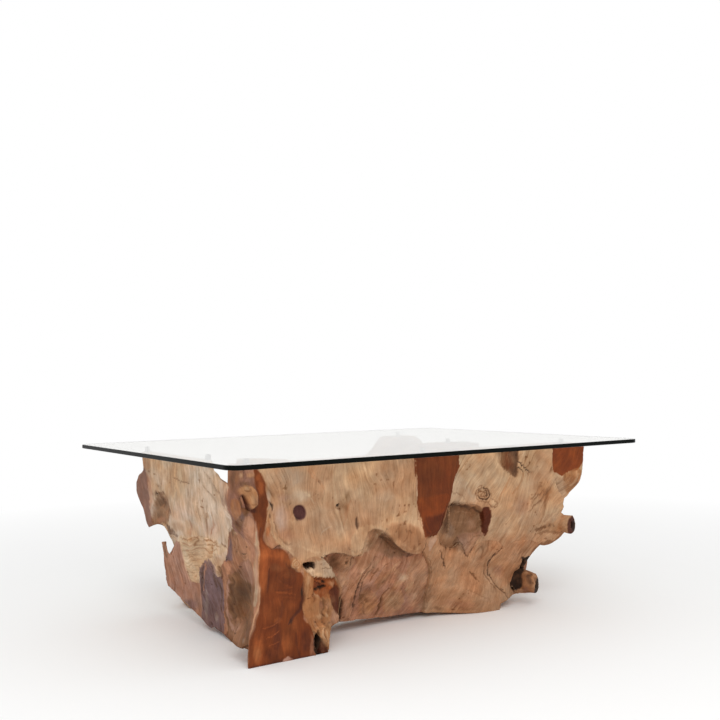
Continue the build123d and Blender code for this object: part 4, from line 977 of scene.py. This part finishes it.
class Canvas:
    """Vertices of one piece, with the colour, rise and finish that are painted on them."""

    def __init__(self, mesh):
        count = len(mesh.vertices)
        flat = np.zeros(count * 3, np.float32)
        mesh.vertices.foreach_get("co", flat)
        self.places = flat.reshape(-1, 3).astype(float)
        self.millimetres = self.places * millimetres_per_metre
        mesh.vertex_normals.foreach_get("vector", flat)
        self.normals = flat.reshape(-1, 3).astype(float)
        to_camera = camera_place - self.places
        to_camera /= np.linalg.norm(to_camera, axis=1)[:, None]
        self.seen = smooth(*seen_range, np.sum(self.normals * to_camera, axis=1))
        self.pixels = pixels_of(self.places)
        self.colour = np.zeros((count, 3))
        self.rise = np.zeros(count)
        self.flat = np.zeros(count)
        self.polish = np.zeros(count)

    def noise(self, name, piece_seed=0):
        """One of the wood's noises at each vertex."""
        return wood_noise(self.millimetres, name, piece_seed)

    def paint(self, mark):
        """Lays a mark over what is painted already, on the vertices that the camera sees."""
        points = mark["points"]
        margin = mark["reach"] * mark_margin
        pixels = self.pixels + self.wobble * mark["waver"]
        near = np.all((pixels > points.min(0) - margin) & (pixels < points.max(0) + margin), axis=1)
        near &= self.seen > 0
        if not near.any():
            return
        share = shares[mark["kind"]](mark, pixels[near]) * self.seen[near]
        calm = mottle * (1 - mark["flat"]) * mark["waver"]
        tint = (share * mark["strength"] * (1 + calm * np.minimum(self.mottle[near], 0)))[:, None]
        self.colour[near] = self.colour[near] * (1 - tint) + np.array(mark["colour"]) / full_colour * tint
        self.rise[near] += share * mark["rise"]
        self.flat[near] = np.maximum(self.flat[near], share * mark["flat"])
        self.polish[near] = np.maximum(self.polish[near], share * mark["polish"])


def cutter(outline):
    """Closed block that fills an outline of pixels, from the near to the far distance."""
    rays = [forward + right * (across - image_side / 2) / focal_pixels
            - up * (down - image_side / 2) / focal_pixels for across, down in outline]
    count = len(rays)
    corners = [(camera_place + ray * reach).tolist() for reach in (cut_near, cut_far) for ray in rays]
    sides = [(number, (number + 1) % count, count + (number + 1) % count, count + number)
             for number in range(count)]
    mesh = bpy.data.meshes.new("cutter")
    mesh.from_pydata(corners, [], [tuple(range(count)), tuple(range(count, 2 * count))] + sides)
    shape = bmesh.new()
    shape.from_mesh(mesh)
    bmesh.ops.recalc_face_normals(shape, faces=shape.faces)
    shape.to_mesh(mesh)
    shape.free()
    return new_object("cutter", mesh)


def remeshed(node):
    """Copy of a CAD node with its cuts made and small even faces, as a new object."""
    piece = new_object(node + "_wood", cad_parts[node].data.copy())
    shape = bmesh.new()
    shape.from_mesh(piece.data)
    bmesh.ops.remove_doubles(shape, verts=shape.verts, dist=merge_gap)
    surface = sum(face.calc_area() for face in shape.faces)
    shape.to_mesh(piece.data)
    shape.free()
    blocks = [cutter(outline) for nodes, outline in cuts if node in nodes]
    for block in blocks:
        carve = piece.modifiers.new("carve", "BOOLEAN")
        carve.operation = "DIFFERENCE"
        carve.solver = "EXACT"
        carve.object = block
    even = piece.modifiers.new("even", "REMESH")
    even.mode = "VOXEL"
    budget = hidden_faces if node in back_walls else shown_faces
    even.voxel_size = max(finest_voxel, (surface / budget) ** 0.5)
    soften = piece.modifiers.new("soften", "SMOOTH")
    soften.factor = soften_factor
    soften.iterations = soften_steps
    graph = bpy.context.evaluated_depsgraph_get()
    mesh = bpy.data.meshes.new_from_object(piece.evaluated_get(graph))
    piece.modifiers.clear()
    piece.data = mesh
    for block in blocks:
        bpy.data.objects.remove(block)
    return piece


def grain_places(millimetres, wall, lean):
    """Millimetres across, along and through the grain, which wavers."""
    level, through = (0, 1) if wall == "front" else (1, 0)
    turn = radians(lean)
    across = millimetres[:, level] * cos(turn) + millimetres[:, 2] * sin(turn)
    along = millimetres[:, 2] * cos(turn) - millimetres[:, level] * sin(turn)
    slow, quick = grain_waver
    waver = slow * wood_noise(millimetres, "grain, slow") + quick * wood_noise(millimetres, "grain, quick")
    return np.stack([across + waver, along, millimetres[:, through]], axis=1)


def paint_wood(canvas, node, grain):
    """Main colours of a piece, and the marks over them."""
    light, dark, wall, _, _, slot = wood_looks[node]
    fibres = grain / fibre_stretch
    canvas.mottle = canvas.noise("mottle")
    wobble = [canvas.noise("edge, " + way) + reach * wood_noise(fibres, "fibre, " + way)
              for way, reach in zip(("across", "down"), fibre_waver)]
    canvas.wobble = edge_waver[slot] * np.stack(wobble, axis=1)
    tone = smooth(*tone_range, canvas.noise("tone"))[:, None]
    canvas.colour = (np.array(light) * (1 - tone) + np.array(dark) * tone) / full_colour
    if node in back_walls:
        canvas.seen[:] = 0
    if wall == "front":
        paint_fade = wedge_paint if node == "wedge_arm" else front_paint
        canvas.seen *= smooth(*paint_fade, canvas.millimetres[:, 1])
    for mark in marks:
        canvas.paint(mark)


def weather(canvas, node, grain):
    """Cracks, pits, streaks and patches of a piece: their colour on the canvas, with painted shade that
    darkens the cracks and pits, and its relief.
    """
    _, _, _, _, bumps, slot = wood_looks[node]
    seed = sum(ord(letter) for letter in node)
    natural = 1 - canvas.flat
    grooves = (1 - np.abs(wood_noise(grain / groove_stretch, "grooves", seed))) ** crack_sharpness
    cracks = grooves * smooth(*crack_range, canvas.noise("crack places", seed)) * natural
    pits = smooth(*pit_range, canvas.noise("pits", seed)) * natural
    pits *= smooth(*pit_places_range, canvas.noise("pit places"))
    streaks = wood_noise(grain / streak_stretch, "streaks", seed)
    fine, broad = contrasts[slot]
    shade = fine * (1 - flat_calm * canvas.flat) * streaks + broad * canvas.noise("patches", seed)
    # painted shade: the cracks and pits are darkened in the colour
    shade -= hollow_shade * (cracks + pits)
    canvas.colour *= 1 + shade[:, None] * shade_tint
    canvas.colour *= 1 + canvas.noise("warmth")[:, None] * warmth_tint
    relief = bumps * (canvas.noise("bumps") + small_bump_share * canvas.noise("small bumps"))
    relief += streak_height * streaks - crack_depth * cracks - pit_depth * pits
    return relief * natural + canvas.rise


def swelling(canvas):
    """How far each vertex moves, in millimetres, with the forms that swell beyond the walls."""
    moves = np.zeros_like(canvas.places)
    for centre, half, way in swells:
        away = (canvas.pixels - np.array(centre)) / np.array(half)
        share = np.clip(1 - np.sum(away * away, axis=1), 0, 1) ** 2
        moves += share[:, None] * np.array(way)
    return moves


def shaped_places(canvas, node, relief):
    """Places of the vertices with their swelling, their relief and the growth that closes the seams."""
    axis = 1 if wood_looks[node][2] == "front" else 0
    facing = canvas.normals[:, axis]
    moves = np.zeros_like(canvas.places) if node in back_walls else swelling(canvas)
    moves[:, axis] += np.sign(facing) * smooth(*facing_range, np.abs(facing)) * relief
    for way, name in ((1 - axis, "drift, level"), (2, "drift, upright")):
        moves[:, way] += drift * canvas.noise(name) + seam_overlap * canvas.normals[:, way]
    places = canvas.places + moves / millimetres_per_metre
    places[:, 2] = np.clip(places[:, 2], 0, wood_top)
    return places


def linear_colour(colour):
    """Colours from 0 to 1, turned from the screen's scale to the linear one."""
    curved = ((colour + screen_offset) / (1 + screen_offset)) ** screen_power
    return np.where(colour <= screen_bend, colour / screen_slope, curved)


def store(mesh, name, kind, field, values):
    """Keeps a value for each vertex on the mesh, for the material to read."""
    attribute = mesh.attributes.new(name, kind, "POINT")
    attribute.data.foreach_set(field, values.astype(np.float32).ravel())


def make_wood(node):
    """Wood piece that stands for a CAD node: its bumps, cracks and colours, painted on its vertices."""
    _, _, wall, lean, _, slot = wood_looks[node]
    piece = remeshed(node)
    mesh = piece.data
    canvas = Canvas(mesh)
    grain = grain_places(canvas.millimetres, wall, lean)
    paint_wood(canvas, node, grain)
    relief = weather(canvas, node, grain)
    mesh.vertices.foreach_set("co", shaped_places(canvas, node, relief).astype(np.float32).ravel())
    colour = linear_colour(np.clip(canvas.colour, darkest, 1))
    store(mesh, "tint", "FLOAT_COLOR", "color", np.hstack([colour, np.ones((len(colour), 1))]))
    store(mesh, "grain", "FLOAT_VECTOR", "vector", grain / millimetres_per_metre)
    store(mesh, "polish", "FLOAT", "value", canvas.polish)
    for face in mesh.polygons:
        face.use_smooth = True
    mesh.update()
    mesh.materials.clear()
    mesh.materials.append(wood_material)
    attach(piece, "base")
    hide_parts(node)


def add(tree, kind, inputs=(), **settings):
    """Outputs of a new shader node, whose inputs are set to values or linked to other nodes' outputs."""
    node = tree.nodes.new("ShaderNode" + kind)
    for name, value in settings.items():
        setattr(node, name, value)
    for name, value in dict(inputs).items():
        if isinstance(value, bpy.types.NodeSocket):
            tree.links.new(value, node.inputs[name])
        else:
            node.inputs[name].default_value = value
    return node.outputs


def new_material(name):
    """New material, and its empty node tree."""
    material = bpy.data.materials.new(name)
    material.use_nodes = True
    material.node_tree.nodes.clear()
    return material, material.node_tree


def stretched_noise(tree, vector, stretch, detail, scale):
    """Noise texture in grain places, stretched along the grain."""
    mapped = add(tree, "Mapping", {"Vector": vector, "Scale": stretch})["Vector"]
    return add(tree, "TexNoise", {"Vector": mapped, "Scale": scale, "Detail": detail})["Fac"]


def ranged(tree, value, low, high, to_low, to_high):
    """Value taken from one range to another, clamped."""
    return add(tree, "MapRange", {"Value": value, "From Min": low, "From Max": high, "To Min": to_low,
                                  "To Max": to_high})["Result"]


def maths(tree, operation, first, second):
    """Sum, product or other result of two values, of which the second may be a number."""
    return add(tree, "Math", {0: first, 1: second}, operation=operation)["Value"]


def mixed(tree, share, first, second):
    """Shader that goes from the first to the second as the share goes from 0 to 1."""
    return add(tree, "MixShader", {"Fac": share, 1: first, 2: second})["Shader"]


# Wood material: stretch, detail and scale of each noise, the range of it that shows, and the light it gives
fibre_noise = ((1.0, 0.06, 0.5), 4.0, 420.0)
fibre_range = (0.3, 0.7)
fibre_light = (0.86, 1.12)
fibre_roughness = (0.06, -0.06)
pore_noise = ((1.0, 0.12, 1.0), 2.0, 900.0)
pore_range = (0.28, 0.42)
pore_light = (0.78, 1.0)
pore_height = 0.6
cloud_noise = ((1.0, 0.4, 1.0), 3.0, 60.0)
cloud_range = (0.3, 0.7)
cloud_light = (0.94, 1.06)
wood_specular = 0.14

# Roughness and bump strength from raw to polished wood, and the bump's height in metres
polish_roughness = (0.72, 0.42)
polish_bump = (0.7, 0.15)
wood_bump = 0.0006


def make_wood_material():
    """Wood whose painted tint is broken up by fine fibres, pores and specks along its grain."""
    material, tree = new_material("root_wood")
    tint = add(tree, "Attribute", attribute_name="tint")["Color"]
    grain = add(tree, "Attribute", attribute_name="grain")["Vector"]
    polish = add(tree, "Attribute", attribute_name="polish")["Fac"]
    fibres = stretched_noise(tree, grain, *fibre_noise)
    pores = stretched_noise(tree, grain, *pore_noise)
    clouds = stretched_noise(tree, grain, *cloud_noise)
    light = maths(tree, "MULTIPLY", ranged(tree, fibres, *fibre_range, *fibre_light),
                  ranged(tree, pores, *pore_range, *pore_light))
    light = maths(tree, "MULTIPLY", light, ranged(tree, clouds, *cloud_range, *cloud_light))
    shaded = add(tree, "VectorMath", {0: tint, "Scale": light}, operation="SCALE")["Vector"]
    roughness = maths(tree, "ADD", ranged(tree, polish, 0, 1, *polish_roughness),
                      ranged(tree, fibres, *fibre_range, *fibre_roughness))
    height = maths(tree, "ADD", fibres, maths(tree, "MULTIPLY", pores, pore_height))
    normal = add(tree, "Bump", {"Distance": wood_bump, "Strength": ranged(tree, polish, 0, 1, *polish_bump),
                                "Height": height})["Normal"]
    shader = add(tree, "BsdfPrincipled", {"Base Color": shaded, "Roughness": roughness, "Normal": normal,
                                          "Specular IOR Level": wood_specular})["BSDF"]
    add(tree, "OutputMaterial", {"Surface": shader})
    return material


# Glass: its colour and refraction, the light that passes it, its dark edge, and the upright part of a face's
# normal from which the face counts as level
glass_colour = (0.98, 0.978, 0.968, 1)
glass_refraction = 1.5
passing_light = (0.93, 0.95, 0.94, 1)
edge_colour = (0.002, 0.003, 0.0025, 1)
edge_roughness = 0.3
edge_specular = 0.05
level_face = 0.93


def make_glass_material():
    """Clear glass with a dark polished edge, which lets the light through to the wood."""
    material, tree = new_material("clear_glass")
    glass = add(tree, "BsdfGlass", {"Color": glass_colour, "IOR": glass_refraction, "Roughness": 0})["BSDF"]
    clear = add(tree, "BsdfTransparent", {"Color": passing_light})["BSDF"]
    path = add(tree, "LightPath")
    passing = maths(tree, "MAXIMUM", path["Is Shadow Ray"], path["Is Diffuse Ray"])
    edge = add(tree, "BsdfPrincipled", {"Base Color": edge_colour, "Roughness": edge_roughness,
                                        "Specular IOR Level": edge_specular})["BSDF"]
    normal = add(tree, "NewGeometry")["Normal"]
    upright = maths(tree, "ABSOLUTE", add(tree, "SeparateXYZ", {"Vector": normal})["Z"], 0.0)
    sideways = maths(tree, "LESS_THAN", upright, level_face)
    face = mixed(tree, passing, glass, clear)
    add(tree, "OutputMaterial", {"Surface": mixed(tree, sideways, face, edge)})
    return material


# Rubber pads and wooden dowels: their dark and light colours, and the scale of the noise between them
rubber_colours = ((0.02, 0.02, 0.022, 1), (0.05, 0.05, 0.052, 1))
rubber_scale = 300.0
dowel_colours = ((0.3, 0.19, 0.1, 1), (0.45, 0.3, 0.18, 1))
dowel_scale = 150.0
plain_detail = 4.0
plain_roughness = 0.6
plain_bump = 0.0003


def make_plain_material(name, colours, scale):
    """Dark and light colour mixed by noise, for the pads and the dowels."""
    material, tree = new_material(name)
    place = add(tree, "TexCoord")["Object"]
    speck = add(tree, "TexNoise", {"Vector": place, "Scale": scale, "Detail": plain_detail})["Fac"]
    mix = add(tree, "ValToRGB", {"Fac": speck})["Color"]
    for element, colour in zip(mix.node.color_ramp.elements, colours):
        element.color = colour
    normal = add(tree, "Bump", {"Distance": plain_bump, "Height": speck})["Normal"]
    shader = add(tree, "BsdfPrincipled", {"Base Color": mix, "Roughness": plain_roughness,
                                          "Normal": normal})["BSDF"]
    add(tree, "OutputMaterial", {"Surface": shader})
    return material


def seen_directly(tree):
    """1 for camera, glossy and transmission rays, and 0 for the rays that light the scene."""
    path = add(tree, "LightPath")
    looking = maths(tree, "MAXIMUM", path["Is Camera Ray"], path["Is Glossy Ray"])
    return maths(tree, "MAXIMUM", looking, path["Is Transmission Ray"])


# Stage: a pale floor that turns white far from the table, and soft light
floor_half = 9.0
floor_colour = (0.93, 0.93, 0.925, 1)
floor_white = (1.1, 2.6)
sky_strength = 0.86
key_power = 55.0
key_size = 2.4
key_place = (-1.6, -3.0, 2.8)


def make_floor():
    """Floor that takes the table's shadow and turns plain white with distance."""
    mesh = bpy.data.meshes.new("floor")
    corners = [(-floor_half, -floor_half, 0), (floor_half, -floor_half, 0), (floor_half, floor_half, 0),
               (-floor_half, floor_half, 0)]
    mesh.from_pydata(corners, [], [(0, 1, 2, 3)])
    material, tree = new_material("pale_floor")
    diffuse = add(tree, "BsdfDiffuse", {"Color": floor_colour})["BSDF"]
    white = add(tree, "Emission")["Emission"]
    place = add(tree, "TexCoord")["Object"]
    distance = add(tree, "VectorMath", {0: place}, operation="LENGTH")["Value"]
    share = maths(tree, "MULTIPLY", ranged(tree, distance, *floor_white, 0, 1), seen_directly(tree))
    add(tree, "OutputMaterial", {"Surface": mixed(tree, share, diffuse, white)})
    mesh.materials.append(material)
    new_object("floor", mesh)


def make_light():
    """Even white sky, and one large lamp aimed at the table for its soft shadow."""
    world = bpy.data.worlds.new("studio")
    scene.world = world
    world.use_nodes = True
    tree = world.node_tree
    tree.nodes.clear()
    strength = ranged(tree, seen_directly(tree), 0, 1, sky_strength, 1)
    background = add(tree, "Background", {"Color": (1, 1, 1, 1), "Strength": strength})["Background"]
    add(tree, "OutputWorld", {"Surface": background})
    lamp = bpy.data.lights.new("key", "AREA")
    lamp.energy = key_power
    lamp.size = key_size
    key = new_object("key", lamp)
    aim = -Vector(key_place)
    key.location = key_place
    key.rotation_mode = "QUATERNION"
    key.rotation_quaternion = aim.to_track_quat("-Z", "Y")


make_camera()
make_floor()
make_light()
wood_material = make_wood_material()
for node in wood_looks:
    make_wood(node)
dressed = {
    "glass_top": (make_glass_material(), "glass"),
    "glass_pads": (make_plain_material("rubber", rubber_colours, rubber_scale), "pads"),
    "joint_dowels": (make_plain_material("dowel", dowel_colours, dowel_scale), "dowel_wood"),
}
for node, (material, slot) in dressed.items():
    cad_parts[node].data.materials.clear()
    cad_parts[node].data.materials.append(material)
